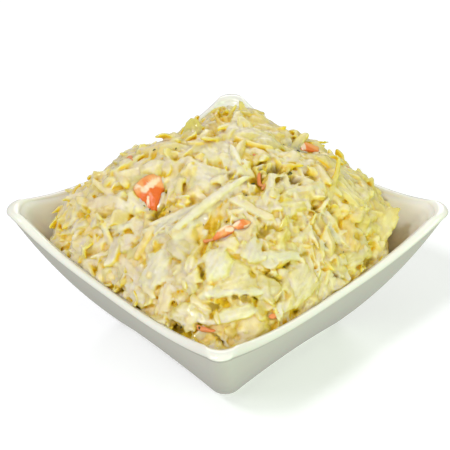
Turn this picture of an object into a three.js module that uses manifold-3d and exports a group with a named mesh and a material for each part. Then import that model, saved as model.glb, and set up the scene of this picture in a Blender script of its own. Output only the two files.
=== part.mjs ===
// Coleslaw heaped in a square white porcelain bowl, as a three.js scene graph.
// Millimetres, +Z up, origin at the middle of the foot's underside, sides parallel to X and Y.
// The heap is one solid: a mound with shreds of cabbage fused to it. Each larger carrot piece is a solid too.
import * as THREE from 'three';
import { mergeVertices } from 'three/addons/utils/BufferGeometryUtils.js';
import Module from 'manifold-3d';

// Driving dimensions

// The bowl's outlines are squares with their corners on the diagonals. "corner" is the distance from the
// axis to a corner tip, "round" the corner's radius, and "pinch" the angle, in radians, that a side
// turns in by at its ends, so that its middle lies inside the straight line between two tips.
const bowl = {
  rim: { corner: 89.4, round: 6.2, pinch: 0.0465 },
  foot: { corner: 44.4, round: 6.3, pinch: 0.0984 },
  insideRim: { corner: 83.7, round: 8, pinch: 0.0465 },
  insideFloor: { corner: 42, round: 11, pinch: 0.05 },
  tipHeight: 61, // rim at the four corner tips
  sideHeight: 53.1, // rim at the middle of a side
  riseTowardsTip: 2.66, // power by which the rim climbs from a side's middle to the tip
  floorHeight: 6, // inside floor above the table
  footHeight: 3,
  footEdge: 0.6, // bevel round the foot's underside
  footRing: 6.5, // how far the foot ring's flat reaches inwards, measured at a corner
  recess: 1.8, // depth of the hollow inside the foot ring
  wallStart: 0.07, // where along the wall's sweep the foot ring meets it
  wallEnd: 0.97, // where along the sweep the rounded lip begins
  lipRadius: 1.7,
};
// A wall leaves the foot at one slope and reaches the rim at a steeper one, along part of a circle.
// These are the circle's angles, in radians; a corner's ridge ends steeper than a side's middle.
const sweepStart = 0.523;
const sweepEndCorner = 0.9506;
const sweepEndSide = 0.8362;

// The mound's plan is a rounded square, and its height falls from a peak to an edge.
const mound = {
  half: 60, // plan half width
  squareness: 4.5, // power of the plan's rounded square
  edge: 44, // height where it ends in the corners
  peak: 84,
  fall: 2.1, // power by which it falls from the peak
  shoulder: 0.75, // power by which it steepens at the edge
  leanX: -0.0024, // share by which it grows for each millimetre
  leanY: 0.0032,
};
const rippleHeight = 0.9; // small waves over the whole mound
const gap = 0.35; // air left between pieces that touch

// Broad swells and hollows of the mound: centre x and y, reach and height.
const swells = [
  { x: -24, y: 28, reach: 11, height: 3 }, // the crown, towards the back
  { x: -43, y: 8, reach: 11, height: -8 },
  { x: -26, y: -32, reach: 12, height: 4.5 },
  { x: 4, y: 48, reach: 8, height: 4.5 },
  { x: 9, y: 27, reach: 7, height: -4.5 }, // hollow beside the crown
  { x: 26, y: 30, reach: 11, height: 3.5 },
  { x: 30, y: -6, reach: 10, height: 1.8 },
  { x: 14, y: -26, reach: 9, height: -1.8 },
  { x: -22, y: -12, reach: 9, height: 3.5 },
  { x: -50, y: -20, reach: 9, height: -3 },
  { x: 48, y: 41, reach: 8, height: 1.5 },
  { x: -45, y: -44, reach: 8, height: 4 },
  { x: -48, y: 35, reach: 9, height: -2 },
];

// The shreds that catch the eye lie where the real heap has them: the plan positions of their two ends.
const placedShreds = [
  { from: [12.6, -9.5], to: [10.5, -37.6], width: 4.4 },
  { from: [4.1, -40.2], to: [11, -24.5], width: 4.6 },
  { from: [0.1, -38.6], to: [7.2, -21.9], width: 4.2 },
  { from: [28, 8.9], to: [32.9, 21.3], width: 4.2 },
  { from: [38.2, 6.8], to: [48.5, 6.9], width: 4 },
  { from: [40.1, 12.8], to: [49.7, 13.6], width: 5 },
  { from: [34.3, -44.9], to: [43.7, -36.9], width: 4.4 },
  { from: [38.3, -52.3], to: [50.1, -33.5], width: 4.6 },
  { from: [17.8, -39.6], to: [28.8, -42.2], width: 4.8 },
  { from: [-20.9, -47.7], to: [-11.2, -41.2], width: 4 },
  { from: [-31.9, -44.2], to: [-12.4, -38.4], width: 4 },
  { from: [-34.2, -51.4], to: [-30.4, -45.5], width: 3.6 },
  { from: [-44.4, -46.5], to: [-41.5, -40.8], width: 4.4 },
  { from: [-1.1, -47.7], to: [1.4, -38.7], width: 4 },
  { from: [-4.8, 14.3], to: [4.7, 21.3], width: 4.6 },
  { from: [0.9, 6.1], to: [1.8, 18.5], width: 4.4 },
  { from: [29.1, -8.5], to: [42.5, -6.9], width: 4.6 },
  { from: [17.6, -13.2], to: [29.7, -5.8], width: 4 },
  { from: [-19.8, -15.1], to: [-16.8, -4.5], width: 4 },
  { from: [-24.9, -33.6], to: [-22.2, -25.2], width: 4.4 },
  { from: [-5.5, -8.4], to: [6.4, -6.2], width: 4.6 },
  { from: [52, 5.6], to: [57, 14.7], width: 4.4 },
  { from: [43.1, -18.2], to: [47, -3.3], width: 5 },
  { from: [12, -56], to: [26.1, -55.4], width: 4 },
  { from: [14.6, -53.5], to: [17.5, -43], width: 3.8 },
];
const seededShreds = 96;
// Broad pieces of leaf: the one standing at the back, the pale one behind the crown, and two at the right.
const placedFlakes = [
  { x: -24, y: 8, heading: 2.4, pitch: 1.0, roll: 0.15, lift: 1.2, length: 13, width: 9 },
  { x: -8, y: 29, heading: 1.2, pitch: 0.1, roll: 0.1, lift: 1.1, length: 15, width: 10 },
  { x: 35.5, y: 22.5, heading: -0.2, pitch: 0.15, roll: 0.2, lift: 1.1, length: 12, width: 8 },
  { x: 49, y: 42, heading: 0.6, pitch: 0.3, roll: 0, lift: 1.8, length: 16, width: 13 },
];
const seededFlakes = 12;

// The carrot pieces large enough to be lifted off the heap, by their ends' plan positions.
const carrots = [
  { name: 'carrot_chunk_left', from: [-16.4, -25.2], to: [-6.6, -34.8], width: 11.5, thick: 5.5, lift: 1.7 },
  { name: 'carrot_piece_middle_left', from: [22.4, -28.4], to: [26.4, -21.5], width: 5, thick: 3.2, lift: 0.8 },
  { name: 'carrot_piece_middle_right', from: [27.4, -20.6], to: [28.6, -13.4], width: 4.6, thick: 2.8, lift: 0.7 },
  { name: 'carrot_piece_back_right', from: [1.6, 34.4], to: [7, 45], width: 5.6, thick: 3.4, lift: 0.8 },
];
const chunkWedge = 0.28; // how much a chunk wider than a shred narrows towards its end

// Shared helpers

// A small generator of repeatable numbers from 0 to 1.
function dice(seed) {
  let state = seed >>> 0;
  return () => {
    state = (Math.imul(state, 1664525) + 1013904223) >>> 0;
    return state / 4294967296;
  };
}

const mix = (a, b, t) => a + (b - a) * t;

// Points round a pinched square, counter-clockwise. u is 0 at a side's middle and 1 at a corner.
const cornerSteps = 4;
const sideSteps = 7;
function squareOutline({ corner, round, pinch }) {
  const turn = Math.PI / 4 + pinch; // from the diagonal to the normal at a corner's end
  const points = [];
  for (let k = 0; k < 4; k++) {
    const diagonal = Math.PI / 4 + (k * Math.PI) / 2;
    const next = diagonal + Math.PI / 2;
    const arcPoint = (middle, offset) => ({
      x: (corner - round) * Math.cos(middle) + round * Math.cos(middle + offset),
      y: (corner - round) * Math.sin(middle) + round * Math.sin(middle + offset),
    });
    for (let i = 0; i <= cornerSteps; i++) {
      points.push({ ...arcPoint(diagonal, mix(-turn, turn, i / cornerSteps)), u: 1 });
    }
    const from = arcPoint(diagonal, turn);
    const to = arcPoint(next, -turn);
    const halfLength = Math.hypot(to.x - from.x, to.y - from.y) / 2;
    const sag = (halfLength * Math.tan(pinch)) / 2;
    const outward = diagonal + Math.PI / 4;
    for (let i = 1; i < sideSteps; i++) {
      const s = (2 * i) / sideSteps - 1;
      const inwards = sag * (1 - s * s);
      points.push({
        x: mix(from.x, to.x, (s + 1) / 2) - inwards * Math.cos(outward),
        y: mix(from.y, to.y, (s + 1) / 2) - inwards * Math.sin(outward),
        u: Math.abs(s),
      });
    }
  }
  return points;
}

// How far out and how far up a wall has come at t, from 0 at the foot to 1 at the rim.
function sweep(t, end) {
  const angle = mix(sweepStart, end, t);
  return {
    out: (Math.sin(angle) - Math.sin(sweepStart)) / (Math.sin(end) - Math.sin(sweepStart)),
    up: (Math.cos(sweepStart) - Math.cos(angle)) / (Math.cos(sweepStart) - Math.cos(end)),
  };
}

const tipShare = (u) => Math.pow(u, bowl.riseTowardsTip);
const rimHeight = (u) => mix(bowl.sideHeight, bowl.tipHeight, tipShare(u));

// One closed ring of a wall between two outlines, at t of the way up from a base height.
function wallRing(low, high, base, t) {
  const top = squareOutline(high);
  return squareOutline(low).map((p, i) => {
    const share = tipShare(top[i].u);
    const corner = sweep(t, sweepEndCorner);
    const side = sweep(t, sweepEndSide);
    const out = mix(side.out, corner.out, share);
    const rise = mix((bowl.sideHeight - base) * side.up, (bowl.tipHeight - base) * corner.up, share);
    return new THREE.Vector3(mix(p.x, top[i].x, out), mix(p.y, top[i].y, out), base + rise);
  });
}

const flatRing = (outline, z) => squareOutline(outline).map((p) => new THREE.Vector3(p.x, p.y, z));

// A closed surface through rings with equal numbers of points; both ends are closed with a fan.
function skin(rings) {
  const count = rings[0].length;
  const positions = rings.flat().flatMap((p) => p.toArray());
  const index = [];
  for (let r = 0; r + 1 < rings.length; r++) {
    for (let i = 0; i < count; i++) {
      const a = r * count + i;
      const b = r * count + ((i + 1) % count);
      index.push(a, b, a + count, b, b + count, a + count);
    }
  }
  const addFan = (ring, start, facesBack) => {
    const middle = new THREE.Vector3();
    ring.forEach((p) => middle.addScaledVector(p, 1 / count));
    const centre = positions.length / 3;
    positions.push(...middle.toArray());
    for (let i = 0; i < count; i++) {
      const a = start + i;
      const b = start + ((i + 1) % count);
      index.push(...(facesBack ? [centre, b, a] : [centre, a, b]));
    }
  };
  addFan(rings[0], 0, true);
  addFan(rings[rings.length - 1], (rings.length - 1) * count, false);
  const geometry = new THREE.BufferGeometry();
  geometry.setAttribute('position', new THREE.Float32BufferAttribute(positions, 3));
  geometry.setIndex(index);
  return geometry;
}

// Joining and cutting

const wasm = await Module();
wasm.setup();

function toSolid(geometry) {
  const bare = new THREE.BufferGeometry();
  bare.setAttribute('position', geometry.getAttribute('position'));
  bare.setIndex(geometry.index);
  const merged = mergeVertices(bare, 1e-4);
  return new wasm.Manifold(
    new wasm.Mesh({
      numProp: 3,
      vertProperties: new Float32Array(merged.attributes.position.array),
      triVerts: new Uint32Array(merged.index.array),
    }),
  );
}

function toGeometry(solid) {
  const { vertProperties, triVerts, numProp, numVert } = solid.getMesh();
  const positions = new Float32Array(numVert * 3);
  for (let i = 0; i < numVert; i++) {
    positions.set(vertProperties.subarray(i * numProp, i * numProp + 3), i * 3);
  }
  const geometry = new THREE.BufferGeometry();
  geometry.setAttribute('position', new THREE.BufferAttribute(positions, 3));
  geometry.setIndex(new THREE.BufferAttribute(new Uint32Array(triVerts), 1));
  geometry.computeVertexNormals();
  return geometry;
}

// The largest body of a solid. Loose scraps go, and so do sealed hollows, whose volume is negative.
function largestBody(solid) {
  return solid.decompose().reduce((best, body) => (body.volume() > best.volume() ? body : best));
}

// The bowl

const insideSteps = 6;
const insideRing = (floor, rim, step) =>
  wallRing(floor, rim, bowl.floorHeight, (bowl.wallEnd * step) / insideSteps);

function bowlGeometry() {
  const ringInside = { ...bowl.foot, corner: bowl.foot.corner - bowl.footRing };
  const recess = { ...ringInside, corner: ringInside.corner - bowl.recess };
  const rings = [
    flatRing(recess, bowl.recess),
    flatRing(ringInside, 0),
    flatRing({ ...bowl.foot, corner: bowl.foot.corner - bowl.footEdge }, 0),
    flatRing(bowl.foot, bowl.footEdge),
    flatRing(bowl.foot, bowl.footHeight),
  ];
  const wallSteps = 6;
  for (let i = 0; i <= wallSteps; i++) {
    rings.push(wallRing(bowl.foot, bowl.rim, 0, mix(bowl.wallStart, bowl.wallEnd, i / wallSteps)));
  }
  rings.push(...lipRings());
  for (let i = insideSteps; i >= 0; i--) {
    rings.push(insideRing(bowl.insideFloor, bowl.insideRim, i));
  }
  return skin(rings);
}

// The lip is rounded over from the outer edge to the inner one.
function lipRings() {
  const outer = squareOutline(bowl.rim);
  const inner = squareOutline(bowl.insideRim);
  const steps = 4;
  const rings = [];
  for (let i = 0; i <= steps; i++) {
    const angle = (Math.PI * i) / steps;
    const across = (1 - Math.cos(angle)) / 2;
    rings.push(
      outer.map((p, k) => {
        const z = rimHeight(p.u) - bowl.lipRadius * (1 - Math.sin(angle));
        return new THREE.Vector3(mix(p.x, inner[k].x, across), mix(p.y, inner[k].y, across), z);
      }),
    );
  }
  return rings;
}

// The room that food may fill: the bowl's inside less the gap, then out over the lip and up.
function roomSolid() {
  const shrink = (outline) => ({ ...outline, corner: outline.corner - gap * Math.SQRT2 });
  const floor = shrink(bowl.insideFloor);
  const rim = shrink(bowl.insideRim);
  const rings = [];
  for (let i = 0; i <= insideSteps; i++) {
    rings.push(insideRing(floor, rim, i).map((p) => p.setZ(p.z + gap)));
  }
  const reachOverLip = 2.5;
  const overLip = { ...bowl.insideRim, corner: bowl.insideRim.corner + reachOverLip };
  const lip = (outline, lift) =>
    squareOutline(outline).map((p) => new THREE.Vector3(p.x, p.y, rimHeight(p.u) + lift));
  rings.push(lip(rim, gap - bowl.lipRadius * 0.6), lip(overLip, gap), lip(overLip, mound.peak));
  return toSolid(skin(rings));
}

// The mound

const planShare = (x, y) =>
  Math.pow(
    Math.pow(Math.abs(x), mound.squareness) + Math.pow(Math.abs(y), mound.squareness),
    1 / mound.squareness,
  ) / mound.half;

function moundHeight(x, y) {
  const share = Math.min(planShare(x, y), 1);
  const dome = Math.pow(1 - Math.pow(share, mound.fall), mound.shoulder);
  const lean = 1 + (mound.leanX * x + mound.leanY * y) * (1 - share * share);
  const inside = 1 - Math.pow(share, 6);
  let z = mound.edge + (mound.peak - mound.edge) * dome * lean;
  for (const swell of swells) {
    const away = ((x - swell.x) ** 2 + (y - swell.y) ** 2) / (2 * swell.reach ** 2);
    z += inside * swell.height * Math.exp(-away);
  }
  const ripple = Math.sin(0.31 * x + 1.2 * Math.sin(0.13 * y)) * Math.sin(0.27 * y + 0.9);
  return z + inside * rippleHeight * ripple;
}

function moundNormal(x, y) {
  const step = 1.5;
  const slopeX = (moundHeight(x + step, y) - moundHeight(x - step, y)) / (2 * step);
  const slopeY = (moundHeight(x, y + step) - moundHeight(x, y - step)) / (2 * step);
  return new THREE.Vector3(-slopeX, -slopeY, 1).normalize();
}

// A point of the mound's plan, from a share of the way out and an angle round the axis.
function planPoint(share, angle) {
  const c = Math.cos(angle);
  const s = Math.sin(angle);
  const reach = share / planShare(c, s);
  return { x: reach * c, y: reach * s };
}

function moundSolid() {
  const spokes = 36;
  const shares = [1, 0.97, 0.9, 0.78, 0.62, 0.46, 0.3, 0.15];
  const ring = (share, height) =>
    Array.from({ length: spokes }, (_, i) => {
      const p = planPoint(share, (2 * Math.PI * i) / spokes);
      return new THREE.Vector3(p.x, p.y, height ?? moundHeight(p.x, p.y));
    });
  return toSolid(skin([ring(1, bowl.floorHeight - 2), ...shares.map((share) => ring(share))]));
}

// Shreds, flakes and carrot

// Where a piece lies: its middle, the way it points, its side and its own up direction.
function seat(x, y, heading, pitch, roll, lift) {
  const normal = moundNormal(x, y);
  const along = new THREE.Vector3(Math.cos(heading), Math.sin(heading), 0);
  along.addScaledVector(normal, -along.dot(normal)).normalize();
  const across = new THREE.Vector3().crossVectors(normal, along);
  along.applyAxisAngle(across, -pitch);
  const side = across.clone().applyAxisAngle(along, roll);
  const up = new THREE.Vector3().crossVectors(along, side);
  const middle = new THREE.Vector3(x, y, moundHeight(x, y)).addScaledVector(normal, lift);
  return { middle, along, side, up };
}

// A point of a bent piece: s along it, a across it and h above its middle surface.
function bentPoint(place, s, a, h, sag, sway) {
  return place.middle
    .clone()
    .addScaledVector(place.along, s)
    .addScaledVector(place.side, a + (sway * s * s) / 2)
    .addScaledVector(place.up, h - (sag * s * s) / 2);
}

// A shred is a strip: four-sided, tapered at both ends, bent along its length.
function shredGeometry(piece) {
  const place = seat(piece.x, piece.y, piece.heading, piece.pitch, piece.roll, piece.lift);
  const steps = piece.length > 22 ? 3 : 2;
  const rings = [];
  for (let i = 0; i <= steps; i++) {
    const t = (2 * i) / steps - 1;
    const taper = 1 - 0.6 * Math.abs(t) ** 3;
    const s = (t * piece.length) / 2;
    const a = (piece.width * taper) / 2;
    const h = (piece.thick * (1 - 0.35 * Math.abs(t) ** 3)) / 2;
    const square = [[-a, -h], [a, -h], [a, h], [-a, h]];
    rings.push(square.map(([sa, sh]) => bentPoint(place, s, sa, sh, piece.sag, piece.sway)));
  }
  return boxSkin(rings);
}

// Like skin, for rings of four points, with two triangles on each end.
function boxSkin(rings) {
  const positions = rings.flat().flatMap((p) => p.toArray());
  const index = [];
  for (let r = 0; r + 1 < rings.length; r++) {
    for (let i = 0; i < 4; i++) {
      const a = r * 4 + i;
      const b = r * 4 + ((i + 1) % 4);
      index.push(a, b, a + 4, b, b + 4, a + 4);
    }
  }
  const last = (rings.length - 1) * 4;
  index.push(0, 2, 1, 0, 3, 2, last, last + 1, last + 2, last, last + 2, last + 3);
  const geometry = new THREE.BufferGeometry();
  geometry.setAttribute('position', new THREE.Float32BufferAttribute(positions, 3));
  geometry.setIndex(index);
  return geometry;
}

// A piece's place from the plan positions of its two ends, which lie on the mound.
function between({ from, to }) {
  const rise = moundHeight(...to) - moundHeight(...from);
  const run = Math.hypot(to[0] - from[0], to[1] - from[1]);
  return {
    x: (from[0] + to[0]) / 2,
    y: (from[1] + to[1]) / 2,
    heading: Math.atan2(to[1] - from[1], to[0] - from[0]),
    length: Math.hypot(run, rise),
  };
}

// Whether a piece would lie over one of the carrots.
function coversCarrot(piece) {
  return carrots.some((item) => {
    const place = between(item);
    const reach = 0.5 * place.length + 0.3 * piece.length + 1;
    return Math.hypot(piece.x - place.x, piece.y - place.y) < reach;
  });
}

// Places spread over the mound along a sunflower's spiral, closer together towards its steep edge.
function scatter(count, reach, draw) {
  const goldenAngle = Math.PI * (3 - Math.sqrt(5));
  return Array.from({ length: count }, (_, i) => {
    const share = reach * Math.pow((i + 0.5) / count, 0.44);
    const { x, y } = planPoint(share, i * goldenAngle);
    return { x: x + 3 * (draw() - 0.5), y: y + 3 * (draw() - 0.5), share };
  });
}

function shredPieces() {
  const draw = dice(7);
  const seeded = scatter(seededShreds, 0.95, draw).map((place) => {
    const steep = draw() < 0.08;
    return {
      ...place,
      heading: 2 * Math.PI * draw(),
      pitch: steep ? 0.5 + 0.35 * draw() : 0.3 * (draw() - 0.3),
      roll: 1.2 * (draw() - 0.5),
      lift: 0.8 + 1.5 * draw() * (1 - place.share ** 4),
      length: (13 + 18 * draw() ** 1.3) * (steep ? 0.7 : 1),
      width: 3.4 + 2.4 * draw(),
      thick: 1.7 + 1 * draw(),
      sag: 0.008 + 0.02 * draw(),
      sway: 0.05 * (draw() - 0.5),
    };
  });
  const placed = placedShreds.map((item) => ({
    ...item,
    ...between(item),
    pitch: 0.05,
    roll: 0.5 * (draw() - 0.5),
    lift: 1.5 + 0.6 * draw(),
    thick: 2.4,
    sag: 0.018,
    sway: 0.04 * (draw() - 0.5),
  }));
  return [...seeded.filter((piece) => !coversCarrot(piece)), ...placed];
}

// A flake is a broad wavy piece of leaf, its two faces split into triangles alike.
function flakeGeometry(piece) {
  const place = seat(piece.x, piece.y, piece.heading, piece.pitch, piece.roll, piece.lift);
  const rows = 4;
  const columns = 3;
  const layer = (h) => {
    const points = [];
    for (let r = 0; r <= rows; r++) {
      for (let c = 0; c <= columns; c++) {
        const t = (2 * r) / rows - 1;
        const w = (2 * c) / columns - 1;
        const edge = 1 - 0.35 * t * t;
        const wave = piece.wave * Math.sin(2.4 * t + 1.7 * w + piece.phase);
        const s = (t * piece.length * (1 - 0.2 * w * w)) / 2;
        points.push(bentPoint(place, s, (w * piece.width * edge) / 2, h + wave, piece.sag, 0));
      }
    }
    return points;
  };
  const positions = [...layer(-piece.thick / 2), ...layer(piece.thick / 2)].flatMap((p) => p.toArray());
  const across = columns + 1;
  const face = across * (rows + 1);
  const index = [];
  for (let r = 0; r < rows; r++) {
    for (let c = 0; c < columns; c++) {
      const a = r * across + c;
      const b = a + across;
      index.push(a, a + 1, b, a + 1, b + 1, b);
      index.push(face + a, face + b, face + a + 1, face + a + 1, face + b, face + b + 1);
    }
  }
  const border = [];
  for (let c = 0; c < columns; c++) border.push(c);
  for (let r = 0; r < rows; r++) border.push(r * across + columns);
  for (let c = columns; c > 0; c--) border.push(rows * across + c);
  for (let r = rows; r > 0; r--) border.push(r * across);
  border.forEach((a, i) => {
    const b = border[(i + 1) % border.length];
    index.push(a, face + a, b, b, face + a, face + b);
  });
  const geometry = new THREE.BufferGeometry();
  geometry.setAttribute('position', new THREE.Float32BufferAttribute(positions, 3));
  geometry.setIndex(index);
  return geometry;
}

function flakePieces() {
  const draw = dice(23);
  const seeded = scatter(seededFlakes, 0.85, draw).map((place) => ({
    ...place,
    heading: 2 * Math.PI * draw(),
    pitch: 0.5 * (draw() - 0.3),
    roll: 0.8 * (draw() - 0.5),
    lift: 1 + 1.4 * draw(),
    length: 10 + 7 * draw(),
    width: 7 + 4 * draw(),
  }));
  const kept = seeded.filter((piece) => !coversCarrot(piece));
  return [...kept, ...placedFlakes].map((piece) => ({
    ...piece,
    thick: 1.3,
    sag: 0.03 * (draw() - 0.3),
    wave: 0.5 + 0.5 * draw(),
    phase: 6 * draw(),
  }));
}

// A carrot piece is a faceted chip, broadest in the middle, or towards its start where it is a chunk.
function carrotGeometry(piece, grow = 0) {
  const { x, y, heading, length } = between(piece);
  const place = seat(x, y, heading, 0.08, 0.12, piece.lift);
  const steps = 4;
  const wedge = piece.width > 2 * piece.thick ? chunkWedge : 0;
  const rings = [];
  for (let i = 0; i <= steps; i++) {
    const t = (2 * i) / steps - 1;
    const taper = (1 - 0.45 * Math.abs(t) ** 2.5) * (1 - wedge * t);
    const s = t * (length / 2 + grow);
    const a = (piece.width * taper * (1 + 0.08 * Math.sin(5 * t))) / 2 + grow;
    const h = (piece.thick * (1 - 0.3 * t * t)) / 2 + grow;
    const square = [[-a, -h], [a, -h], [a * 0.8, h], [-a * 0.75, h]];
    rings.push(square.map(([sa, sh]) => bentPoint(place, s, sa, sh, 0.01, 0.01)));
  }
  return boxSkin(rings);
}

// The finished scene graph

const part = new THREE.Group();
const room = roomSolid();

function addMesh(name, geometry, material) {
  const mesh = new THREE.Mesh(geometry, material);
  mesh.name = name;
  part.add(mesh);
}

const porcelain = new THREE.MeshStandardMaterial({ color: 0xf4f3ee, roughness: 0.18, metalness: 0 });
const cabbage = new THREE.MeshStandardMaterial({ color: 0xefe8b4, roughness: 0.35, metalness: 0 });
const carrot = new THREE.MeshStandardMaterial({ color: 0xf08a55, roughness: 0.35, metalness: 0 });

addMesh('bowl', bowlGeometry(), porcelain);

const shreds = shredPieces().map((piece) => toSolid(shredGeometry(piece)));
const flakes = flakePieces().map((piece) => toSolid(flakeGeometry(piece)));
const carrotRoom = wasm.Manifold.union(carrots.map((piece) => toSolid(carrotGeometry(piece, gap))));
const heap = wasm.Manifold.union([moundSolid(), ...shreds, ...flakes]).intersect(room).subtract(carrotRoom);
addMesh('slaw_heap', toGeometry(largestBody(heap)), cabbage);

for (const piece of carrots) {
  addMesh(piece.name, toGeometry(toSolid(carrotGeometry(piece))), carrot);
}

export default part;
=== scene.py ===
# Creamy coleslaw heaped in a square white porcelain bowl.
# Shapes are worked out in millimetres and turned to metres when a mesh is made.
import math

import bpy
import numpy as np
from mathutils import Matrix, Vector


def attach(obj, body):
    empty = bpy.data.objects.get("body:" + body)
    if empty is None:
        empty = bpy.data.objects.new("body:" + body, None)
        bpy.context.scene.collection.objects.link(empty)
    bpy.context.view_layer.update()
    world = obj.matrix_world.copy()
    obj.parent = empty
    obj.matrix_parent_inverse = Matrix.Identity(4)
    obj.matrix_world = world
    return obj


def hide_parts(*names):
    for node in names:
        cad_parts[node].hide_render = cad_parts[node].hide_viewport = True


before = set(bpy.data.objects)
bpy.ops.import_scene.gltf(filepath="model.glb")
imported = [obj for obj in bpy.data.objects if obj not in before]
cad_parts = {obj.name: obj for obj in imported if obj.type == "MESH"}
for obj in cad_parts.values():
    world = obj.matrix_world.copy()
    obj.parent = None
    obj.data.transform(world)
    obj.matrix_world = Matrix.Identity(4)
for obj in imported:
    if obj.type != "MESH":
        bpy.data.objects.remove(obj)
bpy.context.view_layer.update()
mm = 0.001
anyAngle = (0, 6.28)  # a whole turn, for random headings and phases

# sizes shared with the solid model
bowlShape = {
    "rim": {"corner": 89.4, "round": 6.2, "pinch": 0.0465},
    "foot": {"corner": 44.4, "round": 6.3, "pinch": 0.0984},
    "insideRim": {"corner": 83.7, "round": 8.0, "pinch": 0.0465},
    "insideFloor": {"corner": 42.0, "round": 11.0, "pinch": 0.05},
    "tipHeight": 61.0,
    "sideHeight": 53.1,
    "riseTowardsTip": 2.66,
    "floorHeight": 6.0,
    "footHeight": 3.0,
    "footEdge": 0.6,
    "footRing": 6.5,
    "recess": 1.8,
    "wallStart": 0.07,
    "wallEnd": 0.97,
    "lipRadius": 1.7,
    "sweepStart": 0.523,  # angles of the wall's curve, in radians
    "sweepEndCorner": 0.9506,
    "sweepEndSide": 0.8362,
}
moundShape = {
    "half": 60.0,
    "squareness": 4.5,
    "edge": 44.0,
    "peak": 84.0,
    "fall": 2.1,
    "shoulder": 0.75,
    "leanX": -0.0024,
    "leanY": 0.0032,
    "rimPower": 6,
    "ripple": {"height": 0.9, "alongX": 0.31, "sway": 1.2, "swaying": 0.13, "alongY": 0.27, "shift": 0.9},
}
swells = [  # x, y, reach, height
    (-24, 28, 11, 3), (-43, 8, 11, -8), (-26, -32, 12, 4.5), (4, 48, 8, 4.5), (9, 27, 7, -4.5),
    (26, 30, 11, 3.5), (30, -6, 10, 1.8), (14, -26, 9, -1.8), (-22, -12, 9, 3.5), (-50, -20, 9, -3),
    (48, 41, 8, 1.5), (-45, -44, 8, 4), (-48, 35, 9, -2),
]


def mix(a, b, t):
    return a + (b - a) * t


def smoothStep(low, high, value):
    t = np.clip((value - low) / (high - low), 0, 1)
    return t * t * (3 - 2 * t)


def unit(vectors):
    return vectors / np.maximum(np.linalg.norm(vectors, axis=-1, keepdims=True), 1e-9)


def linearColour(hexText):  # sRGB hex to the linear values that Blender works in
    parts = np.array([int(hexText[i:i + 2], 16) / 255 for i in (1, 3, 5)])
    return np.where(parts <= 0.04045, parts / 12.92, ((parts + 0.055) / 1.055) ** 2.4)


def dice(seed):  # the same repeatable draws as the solid model's
    state = seed

    def draw():
        nonlocal state
        state = (state * 1664525 + 1013904223) % 4294967296
        return state / 4294967296

    return draw


# where the camera stands, and what lies behind a pixel of the photo

cameraPlace = {
    "azimuth": 47.18, "elevation": 37.0, "distance": 537.5, "height": 52.05, "left": 0.65, "roll": -1.128,
    "lens": 105.3, "sensor": 36.0, "pixels": 450,
}


def viewAxes(azimuth, elevation):
    a, e = math.radians(azimuth), math.radians(elevation)
    back = Vector((math.sin(a) * math.cos(e), -math.cos(a) * math.cos(e), math.sin(e)))
    right = Vector((0, 0, 1)).cross(back).normalized()
    return back, right, back.cross(right)


def cameraFrame():
    back, right, up = viewAxes(cameraPlace["azimuth"], cameraPlace["elevation"])
    target = Vector((0, 0, cameraPlace["height"])) - right * cameraPlace["left"]
    turn = Matrix((right, up, back)).transposed() @ Matrix.Rotation(math.radians(cameraPlace["roll"]), 3, "Z")
    return target + back * cameraPlace["distance"], turn


def sightLine(pixel):
    eye, turn = cameraFrame()
    focus = cameraPlace["lens"] / cameraPlace["sensor"] * cameraPlace["pixels"]
    middle = cameraPlace["pixels"] / 2
    ray = turn @ Vector((pixel[0] - middle, middle - pixel[1], -focus))
    return np.array(eye), np.array(ray.normalized())


def pixelOf(points):  # where the photo shows a point
    eye, turn = cameraFrame()
    local = (points - np.array(eye)) @ np.array(turn)
    scale = cameraPlace["lens"] / cameraPlace["sensor"] * cameraPlace["pixels"] / -local[:, 2]
    middle = cameraPlace["pixels"] / 2
    return middle + local[:, 0] * scale, middle - local[:, 1] * scale


def throughPlane(pixels, place, normal):  # where the sight lines of pixels meet a plane
    eye, rays = sightLine(pixels[0])[0], np.array([sightLine(pixel)[1] for pixel in pixels])
    return eye + rays * ((place - eye) @ normal / (rays @ normal))[:, None]


# meshes and materials

def addObject(name, data):
    added = bpy.data.objects.new(name, data)
    bpy.context.scene.collection.objects.link(added)
    return added


def makeMesh(name, points, quads, triangles, attributes, material):
    quads = np.asarray(quads, dtype=np.int64).reshape(-1, 4)
    triangles = np.asarray(triangles, dtype=np.int64).reshape(-1, 3)
    mesh = bpy.data.meshes.new(name)
    mesh.vertices.add(len(points))
    mesh.vertices.foreach_set("co", (np.asarray(points) * mm).astype(np.float32).ravel())
    corners = np.concatenate([quads.ravel(), triangles.ravel()])
    quadStarts = np.arange(len(quads)) * 4
    triangleStarts = len(quads) * 4 + np.arange(len(triangles)) * 3
    mesh.loops.add(len(corners))
    mesh.loops.foreach_set("vertex_index", corners.astype(np.int32))
    mesh.polygons.add(len(quads) + len(triangles))
    mesh.polygons.foreach_set("loop_start", np.concatenate([quadStarts, triangleStarts]).astype(np.int32))
    mesh.polygons.foreach_set("use_smooth", np.ones(len(quads) + len(triangles), dtype=bool))
    mesh.update(calc_edges=True)
    mesh.validate()
    for title, values in attributes.items():
        if title == "tint":
            colours = np.column_stack([values, np.ones(len(values))]).astype(np.float32)
            mesh.attributes.new(title, "FLOAT_COLOR", "POINT").data.foreach_set("color", colours.ravel())
        else:
            flat = values.astype(np.float32).ravel()
            mesh.attributes.new(title, "FLOAT_VECTOR", "POINT").data.foreach_set("vector", flat)
    mesh.materials.append(material)
    return addObject(name, mesh)


def ringQuads(starts, count, turned=False):
    # faces between rings of points, given the number of each ring's first point
    ring = np.arange(count)
    after = (ring + 1) % count
    quads = np.concatenate([
        np.column_stack([one + ring, one + after, two + after, two + ring])
        for one, two in zip(starts[:-1], starts[1:])
    ])
    return quads[:, [0, 3, 2, 1]] if turned else quads


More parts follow.
